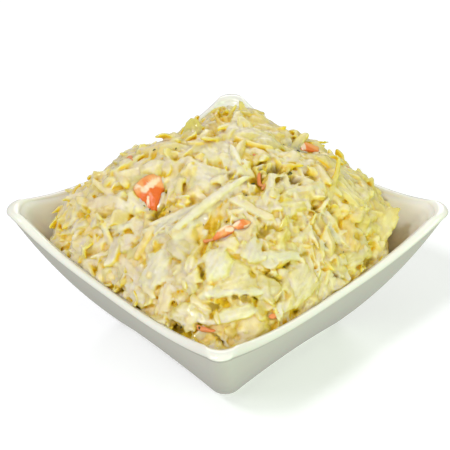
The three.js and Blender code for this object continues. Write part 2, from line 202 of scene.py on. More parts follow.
def fan(tip, start, count, turned=False):
    # triangles between one point and a ring of points
    ring = start + np.arange(count)
    after = np.roll(ring, -1)
    return np.column_stack([np.full(count, tip), *((ring, after) if turned else (after, ring))])


def addNode(tree, kind, settings=None, links=None):  # a link from a whole node takes its first output
    node = tree.nodes.new(kind)
    for key, value in (settings or {}).items():
        if isinstance(key, str) and hasattr(node, key):
            setattr(node, key, value)
        else:
            node.inputs[key].default_value = value
    for key, source in (links or {}).items():
        tree.links.new(source.outputs[0] if hasattr(source, "outputs") else source, node.inputs[key])
    return node


def newMaterial(name):
    material = bpy.data.materials.new(name)
    material.use_nodes = True
    material.node_tree.nodes.clear()
    return material, material.node_tree


def rgba(hexText):
    return (*linearColour(hexText), 1)


def finishMaterial(tree, surface):
    addNode(tree, "ShaderNodeOutputMaterial", links={"Surface": surface})


porcelainLooks = {  # colours of the glaze, pattern marks per metre, and depth and the light's reach in mm
    "glaze": ("#F7F5F0", "#F1EFE8"), "clouding": 28.0, "waviness": 60.0, "waveDepth": 0.6,
    "waveStrength": 0.05, "roughness": 0.16, "ior": 1.5, "coat": 0.4, "coatRoughness": 0.05,
    "translucency": 0.08, "lightReach": 2.0,
}


def glazedPorcelain():
    # hard white porcelain under a clear fired glaze: even, bright, with crisp soft-edged reflections
    material, tree = newMaterial("glazedPorcelain")
    place = addNode(tree, "ShaderNodeTexCoord").outputs["Object"]
    looks = porcelainLooks
    clouding = {"Scale": looks["clouding"], "Detail": 3.0}
    cloud = addNode(tree, "ShaderNodeTexNoise", clouding, {"Vector": place})
    body = addNode(tree, "ShaderNodeMix", {"data_type": "RGBA"}, {"Factor": cloud})
    body.inputs[6].default_value, body.inputs[7].default_value = (rgba(colour) for colour in looks["glaze"])
    waviness = {"Scale": looks["waviness"], "Detail": 2.0}
    wave = addNode(tree, "ShaderNodeTexNoise", waviness, {"Vector": place})
    relief = addNode(
        tree, "ShaderNodeBump", {"Strength": looks["waveStrength"], "Distance": looks["waveDepth"] * mm},
        {"Height": wave},
    )
    surface = addNode(
        tree, "ShaderNodeBsdfPrincipled",
        {"Roughness": looks["roughness"], "IOR": looks["ior"], "Coat Weight": looks["coat"],
         "Coat Roughness": looks["coatRoughness"], "Subsurface Weight": looks["translucency"],
         "Subsurface Scale": looks["lightReach"] * mm},
        {"Base Color": body.outputs[2], "Normal": relief},
    )
    finishMaterial(tree, surface)
    return material


dressedLooks = {  # light's reach in mm, and strengths of the fibres and the mottling
    "creamedCabbage": {"translucency": 1.0, "lightReach": 3.0, "fibre": 0.4, "mottle": 0.04},
    "dressedCarrot": {"translucency": 0.35, "lightReach": 1.1, "fibre": 0.35, "mottle": 0.05},
}
filmLooks = {  # the dressing's wet film: pattern marks per metre, and depths in mm
    "roughness": 0.3, "drier": 0.14, "wetter": 0.1, "ior": 1.4, "specular": 0.2, "coat": 0.5,
    "coatRoughness": 0.06, "mottling": 320.0, "graining": 900.0, "grainDepth": 0.6, "grainStrength": 0.25,
    "fibreDepth": 0.5, "swelling": 480.0, "swellDepth": 0.4,
    "lightReaches": (1.0, 1.0, 0.2),  # red, green and blue
}


def dressedFood(name):
    # raw vegetable coated with a thin creamy dressing: soft light inside, small wet glints on top
    looks = {**filmLooks, **dressedLooks[name]}
    material, tree = newMaterial(name)
    tint = addNode(tree, "ShaderNodeAttribute", {"attribute_name": "tint"})
    grain = addNode(tree, "ShaderNodeAttribute", {"attribute_name": "grain"})
    place = addNode(tree, "ShaderNodeTexCoord").outputs["Object"]
    # mottling of the dressing
    mottling = {"Scale": looks["mottling"], "Detail": 4.0, "Roughness": 0.6}
    patch = addNode(tree, "ShaderNodeTexNoise", mottling, {"Vector": place})
    patchShade = addNode(
        tree, "ShaderNodeMapRange",
        {"From Min": 0.3, "From Max": 0.7, "To Min": 1 - looks["mottle"],
         "To Max": 1 + 0.4 * looks["mottle"]},
        {"Value": patch},
    )
    mottled = addNode(
        tree, "ShaderNodeVectorMath", {"operation": "SCALE"},
        {0: tint, "Scale": patchShade},
    )
    # fibres along the piece, about 0.9 mm apart, and the fine grain of the dressing
    fibres = {"Scale": 1.0, "Detail": 2.0, "Roughness": 0.5}
    strand = addNode(tree, "ShaderNodeTexNoise", fibres, {"Vector": grain.outputs["Vector"]})
    graining = {"Scale": looks["graining"], "Detail": 3.0}
    fine = addNode(tree, "ShaderNodeTexNoise", graining, {"Vector": place})
    strandBump = addNode(
        tree, "ShaderNodeBump", {"Strength": looks["fibre"], "Distance": looks["fibreDepth"] * mm},
        {"Height": strand},
    )
    fineBump = addNode(
        tree, "ShaderNodeBump", {"Strength": looks["grainStrength"], "Distance": looks["grainDepth"] * mm},
        {"Height": fine, "Normal": strandBump},
    )
    # the wet film swells softly, which scatters small glints
    swelling = {"Scale": looks["swelling"], "Detail": 0.0}
    film = addNode(tree, "ShaderNodeTexNoise", swelling, {"Vector": place})
    swell = addNode(
        tree, "ShaderNodeBump", {"Strength": 1.0, "Distance": looks["swellDepth"] * mm},
        {"Height": film},
    )
    roughest, smoothest = looks["roughness"] + looks["drier"], looks["roughness"] - looks["wetter"]
    wet = addNode(
        tree, "ShaderNodeMapRange",
        {"From Min": 0.35, "From Max": 0.65, "To Min": smoothest, "To Max": roughest},
        {"Value": patch},
    )
    surface = addNode(
        tree, "ShaderNodeBsdfPrincipled",
        {"IOR": looks["ior"], "Specular IOR Level": looks["specular"],
         "Subsurface Weight": looks["translucency"], "Subsurface Scale": looks["lightReach"] * mm,
         "Subsurface Radius": looks["lightReaches"], "Coat Weight": looks["coat"],
         "Coat Roughness": looks["coatRoughness"]},
        {"Base Color": mottled, "Roughness": wet,
         "Normal": fineBump, "Coat Normal": swell},
    )
    finishMaterial(tree, surface)
    return material


# the bowl

def squareOutline(outline, cornerSteps=12, sideSteps=40):
    corner, rounding, pinch = outline["corner"], outline["round"], outline["pinch"]
    turn = math.pi / 4 + pinch
    points, shares = [], []
    for k in range(4):
        diagonal = math.pi / 4 + k * math.pi / 2

        def arcPoint(middle, offset):
            return np.array([
                (corner - rounding) * math.cos(middle) + rounding * math.cos(middle + offset),
                (corner - rounding) * math.sin(middle) + rounding * math.sin(middle + offset),
            ])

        for i in range(cornerSteps + 1):
            points.append(arcPoint(diagonal, mix(-turn, turn, i / cornerSteps)))
            shares.append(1.0)
        start, end = arcPoint(diagonal, turn), arcPoint(diagonal + math.pi / 2, -turn)
        sag = np.linalg.norm(end - start) / 2 * math.tan(pinch) / 2
        outward = np.array([math.cos(diagonal + math.pi / 4), math.sin(diagonal + math.pi / 4)])
        for i in range(1, sideSteps):
            s = 2 * i / sideSteps - 1
            points.append(mix(start, end, (s + 1) / 2) - sag * (1 - s * s) * outward)
            shares.append(abs(s))
    return np.array(points), np.array(shares)


def sweep(t, end):
    start = bowlShape["sweepStart"]
    angle = mix(start, end, t)
    out = (math.sin(angle) - math.sin(start)) / (math.sin(end) - math.sin(start))
    up = (math.cos(start) - math.cos(angle)) / (math.cos(start) - math.cos(end))
    return out, up


def rimHeight(share):
    return mix(bowlShape["sideHeight"], bowlShape["tipHeight"], share ** bowlShape["riseTowardsTip"])


def wallRing(low, high, base, t):
    bottom, _ = squareOutline(low)
    top, share = squareOutline(high)
    towardsTip = share ** bowlShape["riseTowardsTip"]
    cornerOut, cornerUp = sweep(t, bowlShape["sweepEndCorner"])
    sideOut, sideUp = sweep(t, bowlShape["sweepEndSide"])
    out = mix(sideOut, cornerOut, towardsTip)[:, None]
    sideRise = (bowlShape["sideHeight"] - base) * sideUp
    tipRise = (bowlShape["tipHeight"] - base) * cornerUp
    z = base + mix(sideRise, tipRise, towardsTip)
    return np.column_stack([mix(bottom, top, out), z])


def flatRing(outline, z):
    points, _ = squareOutline(outline)
    return np.column_stack([points, np.full(len(points), z)])


def closedSkin(rings):
    count = len(rings[0])
    points = np.concatenate([*rings, rings[0].mean(0)[None], rings[-1].mean(0)[None]])
    last = (len(rings) - 1) * count
    quads = ringQuads(range(0, last + 1, count), count)
    caps = [fan(len(points) - 2, 0, count), fan(len(points) - 1, last, count, turned=True)]
    return points, quads, np.concatenate(caps)


def bowlRings():
    plan = bowlShape
    foot = plan["foot"]
    ringInside = {**foot, "corner": foot["corner"] - plan["footRing"]}
    recess = {**ringInside, "corner": ringInside["corner"] - plan["recess"]}
    edge = plan["footEdge"]
    rings = [flatRing(recess, plan["recess"]), flatRing(ringInside, 0)]
    edgeSteps = 3
    for i in range(edgeSteps + 1):
        angle = math.pi / 2 * i / edgeSteps
        rounded = {**foot, "corner": foot["corner"] - edge * (1 - math.sin(angle))}
        rings.append(flatRing(rounded, edge * (1 - math.cos(angle))))
    rings.append(flatRing(foot, plan["footHeight"]))
    wallSteps = 26
    for i in range(wallSteps + 1):
        t = mix(plan["wallStart"], plan["wallEnd"], i / wallSteps)
        rings.append(wallRing(foot, plan["rim"], 0, t))
    outer, share = squareOutline(plan["rim"])
    inner, _ = squareOutline(plan["insideRim"])
    lipSteps = 12
    for i in range(lipSteps + 1):
        angle = math.pi * i / lipSteps
        z = rimHeight(share) - plan["lipRadius"] * (1 - math.sin(angle))
        rings.append(np.column_stack([mix(outer, inner, (1 - math.cos(angle)) / 2), z]))
    insideSteps = 24
    for i in range(insideSteps, -1, -1):
        t = plan["wallEnd"] * i / insideSteps
        rings.append(wallRing(plan["insideFloor"], plan["insideRim"], plan["floorHeight"], t))
    return rings


def makeBowl():
    points, quads, triangles = closedSkin(bowlRings())
    bowl = makeMesh("porcelainBowl", points, quads, triangles, {}, glazedPorcelain())
    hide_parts("bowl")
    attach(bowl, "root")
    print("bowl", len(points), "points")


# the room inside the bowl: how far out the wall lies, by height and by the angle round the axis

wallTable = {"angles": 256, "levels": 30, "lowest": 6, "highest": 62, "flare": 0.5, "air": 0.4}


def wallReach():
    plan = wallTable
    angles = np.linspace(-math.pi, math.pi, plan["angles"], endpoint=False)
    heights = np.arange(plan["lowest"], plan["highest"] + 1.0)
    reaches, levels = [], []
    for t in np.linspace(0, 1, plan["levels"]):
        ring = wallRing(bowlShape["insideFloor"], bowlShape["insideRim"], bowlShape["floorHeight"], t)
        around = np.arctan2(ring[:, 1], ring[:, 0])
        order = np.argsort(around)
        reach = np.hypot(ring[:, 0], ring[:, 1])[order]
        reaches.append(np.interp(angles, around[order], reach, period=2 * math.pi))
        levels.append(np.interp(angles, around[order], ring[order, 2], period=2 * math.pi))
    reaches, levels = np.array(reaches), np.array(levels)
    table = np.zeros((len(heights), len(angles)))
    for k in range(len(angles)):
        overRim = np.maximum(heights - levels[-1, k], 0)
        table[:, k] = np.interp(heights, levels[:, k], reaches[:, k]) + overRim
    return table


def keepInBowl(points, reach, air):  # air is the least gap to the glaze, or below 0 how far past it
    plan = wallTable
    x, y, z = points.T
    column = (np.arctan2(y, x) / (2 * math.pi) + 0.5) * plan["angles"]
    left = np.floor(column).astype(int) % plan["angles"]
    right = (left + 1) % plan["angles"]
    side = column - np.floor(column)
    level = np.clip(z - plan["lowest"], 0, len(reach) - 1.001)
    low = level.astype(int)
    up = level - low
    limit = mix(mix(reach[low, left], reach[low, right], side),
                mix(reach[low + 1, left], reach[low + 1, right], side), up) - air
    limit = limit + np.maximum(z - plan["highest"], 0) * plan["flare"]
    out = np.hypot(x, y)
    scale = np.minimum(limit / np.maximum(out, 1e-6), 1)
    return np.column_stack([x * scale, y * scale, np.maximum(z, bowlShape["floorHeight"] + 1)])


# the mound

def planShare(x, y):
    power = moundShape["squareness"]
    return (np.abs(x) ** power + np.abs(y) ** power) ** (1 / power) / moundShape["half"]


def moundHeight(x, y):
    share = np.minimum(planShare(x, y), 1)
    dome = (1 - share ** moundShape["fall"]) ** moundShape["shoulder"]
    lean = 1 + (moundShape["leanX"] * x + moundShape["leanY"] * y) * (1 - share * share)
    inside = 1 - share ** moundShape["rimPower"]
    z = moundShape["edge"] + (moundShape["peak"] - moundShape["edge"]) * dome * lean
    for swellX, swellY, reach, height in swells:
        z = z + inside * height * np.exp(-((x - swellX) ** 2 + (y - swellY) ** 2) / (2 * reach ** 2))
    ripple = moundShape["ripple"]
    wave = np.sin(ripple["alongX"] * x + ripple["sway"] * np.sin(ripple["swaying"] * y))
    return z + inside * ripple["height"] * (wave * np.sin(ripple["alongY"] * y + ripple["shift"]))


# along a line of sight in mm, how near the mound's edge it may meet the slaw, and the loose slaw's height
sight = {"from": 400, "to": 640, "step": 0.5, "edge": 0.97, "loose": 1}


def onHeap(pixel):  # the plan place on the mound that the photo shows at a pixel, or the nearest to it
    eye, ray = sightLine(pixel)
    x, y, z = (eye + ray * np.arange(sight["from"], sight["to"], sight["step"])[:, None]).T
    air = np.where(planShare(x, y) < sight["edge"], z - moundHeight(x, y) - sight["loose"], np.inf)
    first = np.argmax(air < 0) if (air < 0).any() else np.argmin(air)
    return x[first], y[first]


def moundNormal(x, y):
    step = 1.5  # mm, so that the slope is of the mound and not of its ripples
    slopeX = (moundHeight(x + step, y) - moundHeight(x - step, y)) / (2 * step)
    slopeY = (moundHeight(x, y + step) - moundHeight(x, y - step)) / (2 * step)
    return unit(np.array([-slopeX, -slopeY, 1.0]))


# A shell round a centre inside the heap holds how far out the slaw has been piled in each direction.
# Directions are laid out flat by equal areas, so that a cell is about half a millimetre everywhere.

shellShape = {  # lengths in mm, but half is the layout's half side, where 2 would be straight down
    "centre": np.array([0.0, 0.0, 24.0]), "half": 1.34, "cells": 380, "coreDepth": 3.8,
    "nearest": 5.0, "furthest": 110.0, "halvings": 18, "proud": 0.2, "standing": 1.0, "edge": 0.985,
}


def outwards(points):
    return unit(points - shellShape["centre"])


def shellPlace(points):
    offset = points - shellShape["centre"]
    distance = np.linalg.norm(offset, axis=-1)
    direction = offset / distance[..., None]
    spread = np.sqrt(2 / np.maximum(1 + direction[..., 2], 1e-6))
    cell = 2 * shellShape["half"] / shellShape["cells"]
    column = (direction[..., 0] * spread + shellShape["half"]) / cell
    row = (direction[..., 1] * spread + shellShape["half"]) / cell
    last = shellShape["cells"] - 2
    return distance, np.clip(column, 0, last), np.clip(row, 0, last)


def shellDirections():
    cells = shellShape["cells"]
    axis = (np.arange(cells) + 0.5) / cells * 2 * shellShape["half"] - shellShape["half"]
    a, b = np.meshgrid(axis, axis)
    squared = np.minimum(a * a + b * b, 3.9)  # 4 is straight down
    shrink = np.sqrt(1 - squared / 4)
    return np.stack([a * shrink, b * shrink, 1 - squared / 2], -1), squared < shellShape["half"] ** 2


pocketPlan = {"count": 16, "within": 54, "reach": (1.8, 3.2), "depth": (2.0, 4.0), "coreShare": 0.3}
bareCorners = [(53, 48, 9, 9), (-50, -56, 6, 4), (-52, 50, 8, 6)]  # plan place, reach and depth


def pocketDrop(places, rng):
    drop = np.zeros(places.shape[:-1])
    pockets = list(bareCorners)
    for _ in range(pocketPlan["count"]):
        x, y = rng.uniform(-pocketPlan["within"], pocketPlan["within"], 2)
        reach = between(pocketPlan["reach"], rng.random())
        pockets.append((x, y, reach, between(pocketPlan["depth"], rng.random())))
    for x, y, reach, depth in pockets:
        off = places - np.array([x, y, moundHeight(x, y)])
        away = (off ** 2).sum(-1) / (2 * reach * reach)
        drop = np.maximum(drop, depth * np.exp(-away))
    return drop


def moundDistance(directions):
    low = np.full(directions.shape[:-1], shellShape["nearest"])
    high = np.full(directions.shape[:-1], shellShape["furthest"])
    for _ in range(shellShape["halvings"]):
        middle = (low + high) / 2
        p = shellShape["centre"] + directions * middle[..., None]
        share = planShare(p[..., 0], p[..., 1])
        inside = (share < 1) & (p[..., 2] < moundHeight(p[..., 0], p[..., 1]))
        low = np.where(inside, middle, low)
        high = np.where(inside, high, middle)
    return low


def boxBlur(grid, reach):
    for axis in (0, 1):
        grid = sum(np.roll(grid, k, axis) for k in range(-reach, reach + 1)) / (2 * reach + 1)
    return grid


def pileAt(shell, points):
    _, column, row = shellPlace(points)
    return shell["pile"][np.rint(row).astype(int), np.rint(column).astype(int)]


def pileOn(shell, points):
    distance, column, row = shellPlace(points.reshape(-1, 3))
    here = shell["goal"][np.rint(row).astype(int), np.rint(column).astype(int)]
    distance = np.minimum(distance, here + shellShape["standing"])  # a piece that stands up carries nothing
    left, low = column.astype(int), row.astype(int)
    for right in (0, 1):
        for up in (0, 1):
            np.maximum.at(shell["pile"], (low + up, left + right), distance)


def seat(x, y, heading):
    normal = moundNormal(x, y)
    along = np.array([math.cos(heading), math.sin(heading), 0.0])
    along = unit(along - normal * (along @ normal))
    across = np.cross(normal, along)
    middle = np.array([x, y, moundHeight(x, y)])
    return middle, along, across, normal


# shreds

stripRest = {  # how a strip lies: station and give in mm, grip and dips in shares of its width and length
    "station": 0.7, "fewest": 8, "grip": 0.36, "gripLost": 0.7, "give": 0.45, "curlPower": 2.5, "dips": 0.12,
    "lean": 0.7, "leanFollowed": 0.7, "leanOver": 4,
}


def layStrip(shell, item):
    # rests a bent strip on what is already piled up: its centre line, and its side and up directions
    plan = stripRest
    middle, along, across, normal = seat(item["x"], item["y"], item["heading"])
    stations = max(plan["fewest"], int(item["length"] / plan["station"]))
    s = np.linspace(-0.5, 0.5, stations) * item["length"]
    line = middle + along * s[:, None] + across * (item["sway"] * s * s / 2)[:, None]
    reach = plan["grip"] * item["width"] * (1 - plan["gripLost"] * min(abs(item["roll"]), 1))
    left, right = pileAt(shell, line - across * reach), pileAt(shell, line + across * reach)
    centre = pileAt(shell, line)
    under = np.maximum(centre, 0.5 * (left + right))
    rest = under + item["thick"] / 2 + item.get("lift", 0)
    height = rest - item["sink"]
    for _ in range(item["stiffness"]):
        height[1:-1] = 0.5 * height[1:-1] + 0.25 * (height[:-2] + height[2:])
        height[0] = 0.5 * height[0] + 0.5 * (2 * height[1] - height[2])
        height[-1] = 0.5 * height[-1] + 0.5 * (2 * height[-2] - height[-3])
        height = np.maximum(height, rest - item["sink"] - plan["give"])
    t = s / item["length"] * 2
    height = height + item["curl"] * np.clip(t, 0, 1) ** plan["curlPower"]
    # one end is buried and the other stands free
    slope = math.sin(item["pitch"])
    height = height + slope * s - abs(slope) * item["length"] * plan["dips"]
    direction = outwards(line)
    line = shellShape["centre"] + direction * height[:, None]
    tangent = unit(np.gradient(line, axis=0))
    outward = unit(direction + normal)
    side = unit(np.cross(outward, tangent))
    up = np.cross(tangent, side)
    lean = np.clip((right - left) / (2 * reach + 0.1), -plan["lean"], plan["lean"])
    over = plan["leanOver"]
    lean = np.convolve(np.pad(lean, over, mode="edge"), np.ones(2 * over + 1) / (2 * over + 1), mode="valid")
    roll = item["roll"] + plan["leanFollowed"] * np.arctan(lean) + item["twist"] * t
    cos, sin = np.cos(roll)[:, None], np.sin(roll)[:, None]
    side, up = side * cos + up * sin, up * cos - side * sin
    return line, side, up


def waviness(rng, at, wavelength):
    # an uneven line through 0, of about unit height
    total = np.zeros_like(at)
    for factor, weight in ((1, 0.6), (0.53, 0.35), (0.29, 0.2)):
        total = total + weight * np.sin(at * 2 * math.pi / (wavelength * factor) + rng.uniform(*anyAngle))
    return total


stripCut = {  # section and ends of a strip, with waves and ribs by their length in mm, grain per mm
    "fewest": 7, "crowding": 0.4, "squareness": 0.6, "endWidth": 0.1, "endBody": 0.3, "taperFrom": -0.1,
    "edgeWaves": (6.0, 5.0), "bodyWave": 6.0, "bodyUneven": 0.1, "ribSpacing": 1.7, "ruffleWave": 6.5,
    "slantFrom": 0.3, "grain": (0.16, 1.1, 0.3),
}


def stripMesh(item, line, side, up, rng):
    plan = stripCut
    length, width, thick = item["length"], item["width"], item["thick"]
    count = max(plan["fewest"], int(length / item["step"]))
    even = np.linspace(-1, 1, count)
    crowding = plan["crowding"]  # towards the ends
    t = (1 - crowding) * even + crowding * np.sin(even * math.pi / 2)
    at = (t + 1) / 2 * (len(line) - 1)
    known = np.arange(len(line))
    line, side, up = (
        np.column_stack([np.interp(at, known, rows[:, k]) for k in range(3)]) for rows in (line, side, up)
    )
    tangent = unit(np.gradient(line, axis=0))
    ringCount = item["ring"]
    around = (np.arange(ringCount) + 0.5) * 2 * math.pi / ringCount
    c, h = np.cos(around), np.sin(around)
    flat = np.sign(c) * np.abs(c) ** plan["squareness"]
    high = np.sign(h) * np.abs(h) ** plan["squareness"]
    # cut square or slanting at one end, often torn to a point at the other
    end = np.maximum((1 - np.abs(t) ** item["bluntness"]) ** 0.5, plan["endWidth"])
    torn = mix(1, item["tip"], smoothStep(plan["taperFrom"], 1, t))
    taper = torn * mix(item["tail"], 1, smoothStep(-1, 0, t))
    place = t * length / 2
    leftEdge, rightEdge = (
        end * taper * (1 + item["ragged"] * waviness(rng, place, wave)) for wave in plan["edgeWaves"]
    )
    half = np.where(flat[None] < 0, leftEdge[:, None], rightEdge[:, None]) * width / 2
    a = flat[None] * half
    front, back = smoothStep(plan["slantFrom"], 1, t), smoothStep(plan["slantFrom"], 1, -t)
    slant = (item["slant"] * front + item["slantBack"] * back)[:, None] * a
    uneven = 1 + plan["bodyUneven"] * waviness(rng, place, plan["bodyWave"])
    body = thick / 2 * np.maximum(end, plan["endBody"])[:, None] * uneven[:, None]
    rib = 1 + item["rib"] * np.cos(a * 2 * math.pi / plan["ribSpacing"] + rng.uniform(*anyAngle))
    b = high[None] * body * np.where(high[None] > 0, rib, 1)
    # the strip is cupped across its width and its edges ruffle
    b = b + item["cup"] * (a / (width / 2)) ** 2
    ruffle = item["ruffle"] * waviness(rng, place, plan["ruffleWave"])[:, None]
    ruffle = ruffle * np.abs(flat[None]) ** 2 * np.sign(flat[None])
    points = line[:, None] + side[:, None] * a[..., None] + up[:, None] * (b + ruffle)[..., None]
    points = points + tangent[:, None] * slant[..., None]
    flatPoints = points.reshape(-1, 3)
    total = len(flatPoints)
    quads = ringQuads(range(0, total, ringCount), ringCount)
    caps = [fan(total, 0, ringCount), fan(total + 1, total - ringCount, ringCount, turned=True)]
    flatPoints = np.concatenate([flatPoints, points[0].mean(0)[None], points[-1].mean(0)[None]])
    shift = rng.uniform(0, 400, 2)
    alongGrain, acrossGrain, depthGrain = plan["grain"]
    grain = np.stack([
        np.broadcast_to(place[:, None] * alongGrain + shift[0], a.shape),
        a * acrossGrain + shift[1],
        np.broadcast_to(high[None] * depthGrain, a.shape),
    ], -1).reshape(-1, 3)
    grain = np.concatenate([grain, grain[:1], grain[-1:]])
    across = np.concatenate([np.abs(np.broadcast_to(flat[None], a.shape)).ravel(), [0.5, 0.5]])
    lengthwise = np.concatenate([np.broadcast_to(t[:, None], a.shape).ravel(), [-1, 1]])
    return flatPoints, quads, np.concatenate(caps), grain, across, lengthwise


# leaf chips

chipCut = {  # number of straight cuts and how far out they lie, edge, veins in mm, grain per mm
    "cuts": (4, 7), "uneven": 0.25, "far": (0.6, 1.0), "sharpness": 12, "furthest": 1.35,
    "edgePower": 5, "veinSpacing": 2.2, "veinSway": 0.5, "grain": (0.2, 0.9),
}
leafRest = {  # carried is the share of a leaf that clears the bumps under it, waves are in radians per mm
    "crowding": 0.85, "carried": 0.8, "proud": 1.0, "seenProud": 0.6,
    "waves": (0.75, 0.6), "waveGain": 1.2, "seenWaves": (0.55, 0.7), "standWaves": (0.5, 0.7),
    "nibbles": ((5, 1.0), (8, 0.8)), "hinge": 0.4, "cupEven": 0.6, "foldAt": 0.22,
}


def cutOutline(angle, rng):
    # a piece of leaf chopped by a few straight cuts, its corners slightly rounded
    cuts = rng.integers(*chipCut["cuts"])
    jitter = rng.uniform(-chipCut["uneven"], chipCut["uneven"], cuts)
    facing = (np.arange(cuts) + jitter) * 2 * math.pi / cuts + rng.uniform(*anyAngle)
    far = rng.uniform(*chipCut["far"], cuts)
    nearness = np.maximum(np.cos(angle[:, None] - facing), 0.02) / far
    sharpness = chipCut["sharpness"]
    return np.minimum((nearness ** sharpness).sum(1) ** (-1 / sharpness), chipCut["furthest"])


def ringShares(rings):  # how far out each ring of a leaf lies, closer together near its edge
    return (np.arange(rings + 1) / rings) ** leafRest["crowding"]


def leafWave(height, x, y, rates, shifts=(0, 0)):
    return height * np.sin(x * rates[0] + shifts[0]) * np.sin(y * rates[1] + shifts[1])


def seenOutline(item, middle, normal):
    # the rim of a leaf whose outline the photo shows, as places round its middle
    back = np.array(viewAxes(cameraPlace["azimuth"], cameraPlace["elevation"])[0])
    corners = throughPlane(item["outline"], middle, unit(normal + item["facing"] * back)) - middle
    corners = np.concatenate([corners, corners[:1]])
    walked = np.concatenate([[0], np.cumsum(np.linalg.norm(np.diff(corners, axis=0), axis=1))])
    at = np.linspace(0, walked[-1], item["spokes"], endpoint=False)
    rim = np.column_stack([np.interp(at, walked, corners[:, k]) for k in range(3)])
    return 0.25 * np.roll(rim, 1, 0) + 0.5 * rim + 0.25 * np.roll(rim, -1, 0)


def restOn(under, x, y, drape, proud):
    # between the pile's own bumps and a smooth curved sheet that rests on most of them
    design = np.stack([np.ones_like(x), x, y, x * x, x * y, y * y], -1).reshape(-1, 6)
    fit, *_ = np.linalg.lstsq(design, under.ravel(), rcond=None)
    smooth = (design @ fit).reshape(under.shape)
    return mix(smooth + proud * np.quantile(under - smooth, leafRest["carried"]), under, drape)


def laySeenLeaf(shell, item, rng):
    middle, along, across, normal = seat(item["x"], item["y"], item["heading"])
    rim = seenOutline(item, middle, normal)
    rings = item["rings"]
    share = ringShares(rings)
    rough = 1 + item["ragged"] * rng.normal(0, 1, len(rim))
    flat = middle + share[:, None, None] * (rim * rough[:, None])
    offset = flat - middle
    x, y = offset @ along, offset @ across
    if item.get("stand"):
        flat = flat + normal * item["lift"]
        bend = item["cup"] * (1 - share[:, None] ** 2) + leafWave(item["wave"], x, y, leafRest["standWaves"])
        surface = flat + normal * bend[..., None]
        return surface, np.broadcast_to(normal, surface.shape), x, y, share
    rest = restOn(pileAt(shell, flat), x, y, item["drape"], leafRest["seenProud"])
    wave = leafWave(item["wave"], x, y, leafRest["seenWaves"], rng.uniform(*anyAngle, 2))
    height = rest + item["thick"] / 2 + item["lift"] + wave + item["cup"] * share[:, None] ** 2
    direction = outwards(flat)
    surface = shellShape["centre"] + direction * height[..., None]
    return surface, unit(direction + normal), x, y, share


def layChip(shell, item, rng):
    plan = leafRest
    if "outline" in item:
        return laySeenLeaf(shell, item, rng)
    middle, along, across, normal = seat(item["x"], item["y"], item["heading"])
    spokes, rings = item["spokes"], item["rings"]
    angle = np.arange(spokes) * 2 * math.pi / spokes
    outline = cutOutline(angle, rng) * (1 + item["ragged"] * rng.normal(0, 1, spokes))
    outline = outline + item["ragged"] * sum(
        weight * np.sin(count * angle + rng.uniform(*anyAngle)) for count, weight in plan["nibbles"]
    )
    share = ringShares(rings)
    x = share[:, None] * np.cos(angle) * outline * item["length"] / 2
    y = share[:, None] * np.sin(angle) * outline * item["width"] / 2
    flat = middle + along * x[..., None] + across * y[..., None]
    rest = restOn(pileAt(shell, flat), x, y, item["drape"], plan["proud"])
    tilt = item["pitch"] * (x + item["length"] * plan["hinge"]) + item["roll"] * y
    wave = leafWave(item["wave"], x, y, plan["waves"], rng.uniform(*anyAngle, 2)) * plan["waveGain"]
    even = plan["cupEven"]
    around = even + (1 - even) * np.cos(2 * angle + rng.uniform(*anyAngle))
    bowed = item["cup"] * (share[:, None] ** 2) * around
    folded = item["fold"] * (np.abs(y) - plan["foldAt"] * item["width"])
    height = rest + item["thick"] / 2 - item["sink"] + tilt + wave + bowed + folded
    direction = outwards(flat)
    surface = shellShape["centre"] + direction * height[..., None]
    return surface, unit(direction + normal), x, y, share


def chipMesh(item, surface, outward, x, y, share, rng):
    rings, spokes = surface.shape[0] - 1, surface.shape[1]
    body = item["thick"] / 2 * np.sqrt(np.maximum(1 - share ** chipCut["edgePower"], 0))[:, None]
    swaying = chipCut["veinSway"] * np.sin(x * chipCut["veinSway"])
    vein = 1 + item["rib"] * np.cos(y * 2 * math.pi / chipCut["veinSpacing"] + swaying)
    top = surface + outward * (body * vein)[..., None]
    low = surface - outward * body[..., None]
    # the centre is ring 0's mean; the outermost ring is shared by both faces
    points = [top[1:].reshape(-1, 3), low[1:-1].reshape(-1, 3), top[0].mean(0)[None], low[0].mean(0)[None]]
    topStarts = [r * spokes for r in range(rings)]
    topCount, centres = rings * spokes, (2 * rings - 1) * spokes
    lowStarts = [topCount + start for start in topStarts[:-1]] + [topStarts[-1]]
    quads = [ringQuads(topStarts, spokes, turned=True), ringQuads(lowStarts, spokes)]
    caps = [fan(centres, 0, spokes, turned=True), fan(centres + 1, topCount, spokes)]
    shift = rng.uniform(0, 400, 2)
    alongGrain, acrossGrain = chipCut["grain"]
    grain = np.stack([x * alongGrain + shift[0], y * acrossGrain + shift[1], np.zeros_like(x)], -1)
    centre = grain[0].mean(0)[None]
    grain = np.concatenate([grain[1:].reshape(-1, 3), grain[1:-1].reshape(-1, 3), centre, centre])
    spread = np.broadcast_to(share[:, None], x.shape)
    across = np.concatenate([spread[1:].ravel(), spread[1:-1].ravel(), [0, 0]])
    along = x / (item["length"] / 2)
    lengthwise = np.concatenate([along[1:].ravel(), along[1:-1].ravel(), [0, 0]])
    return np.concatenate(points), np.concatenate(quads), np.concatenate(caps), grain, across, lengthwise


# batches: pieces are gathered here, mostly one batch for each kind; the slaw's batches are joined into one
# mesh, the others each become a mesh

def newBatch():
    return {"points": [], "quads": [], "triangles": [], "grain": [], "tint": [], "count": 0}


def joined(batch):
    return {part: np.concatenate(batch[part]) for part in ("points", "quads", "triangles", "grain", "tint")}


def addToBatch(batch, points, quads, triangles, grain, tint):
    batch["points"].append(points)
    batch["quads"].append(quads + batch["count"])
    batch["triangles"].append(triangles + batch["count"])
    batch["grain"].append(grain)
    batch["tint"].append(tint)
    batch["count"] += len(points)


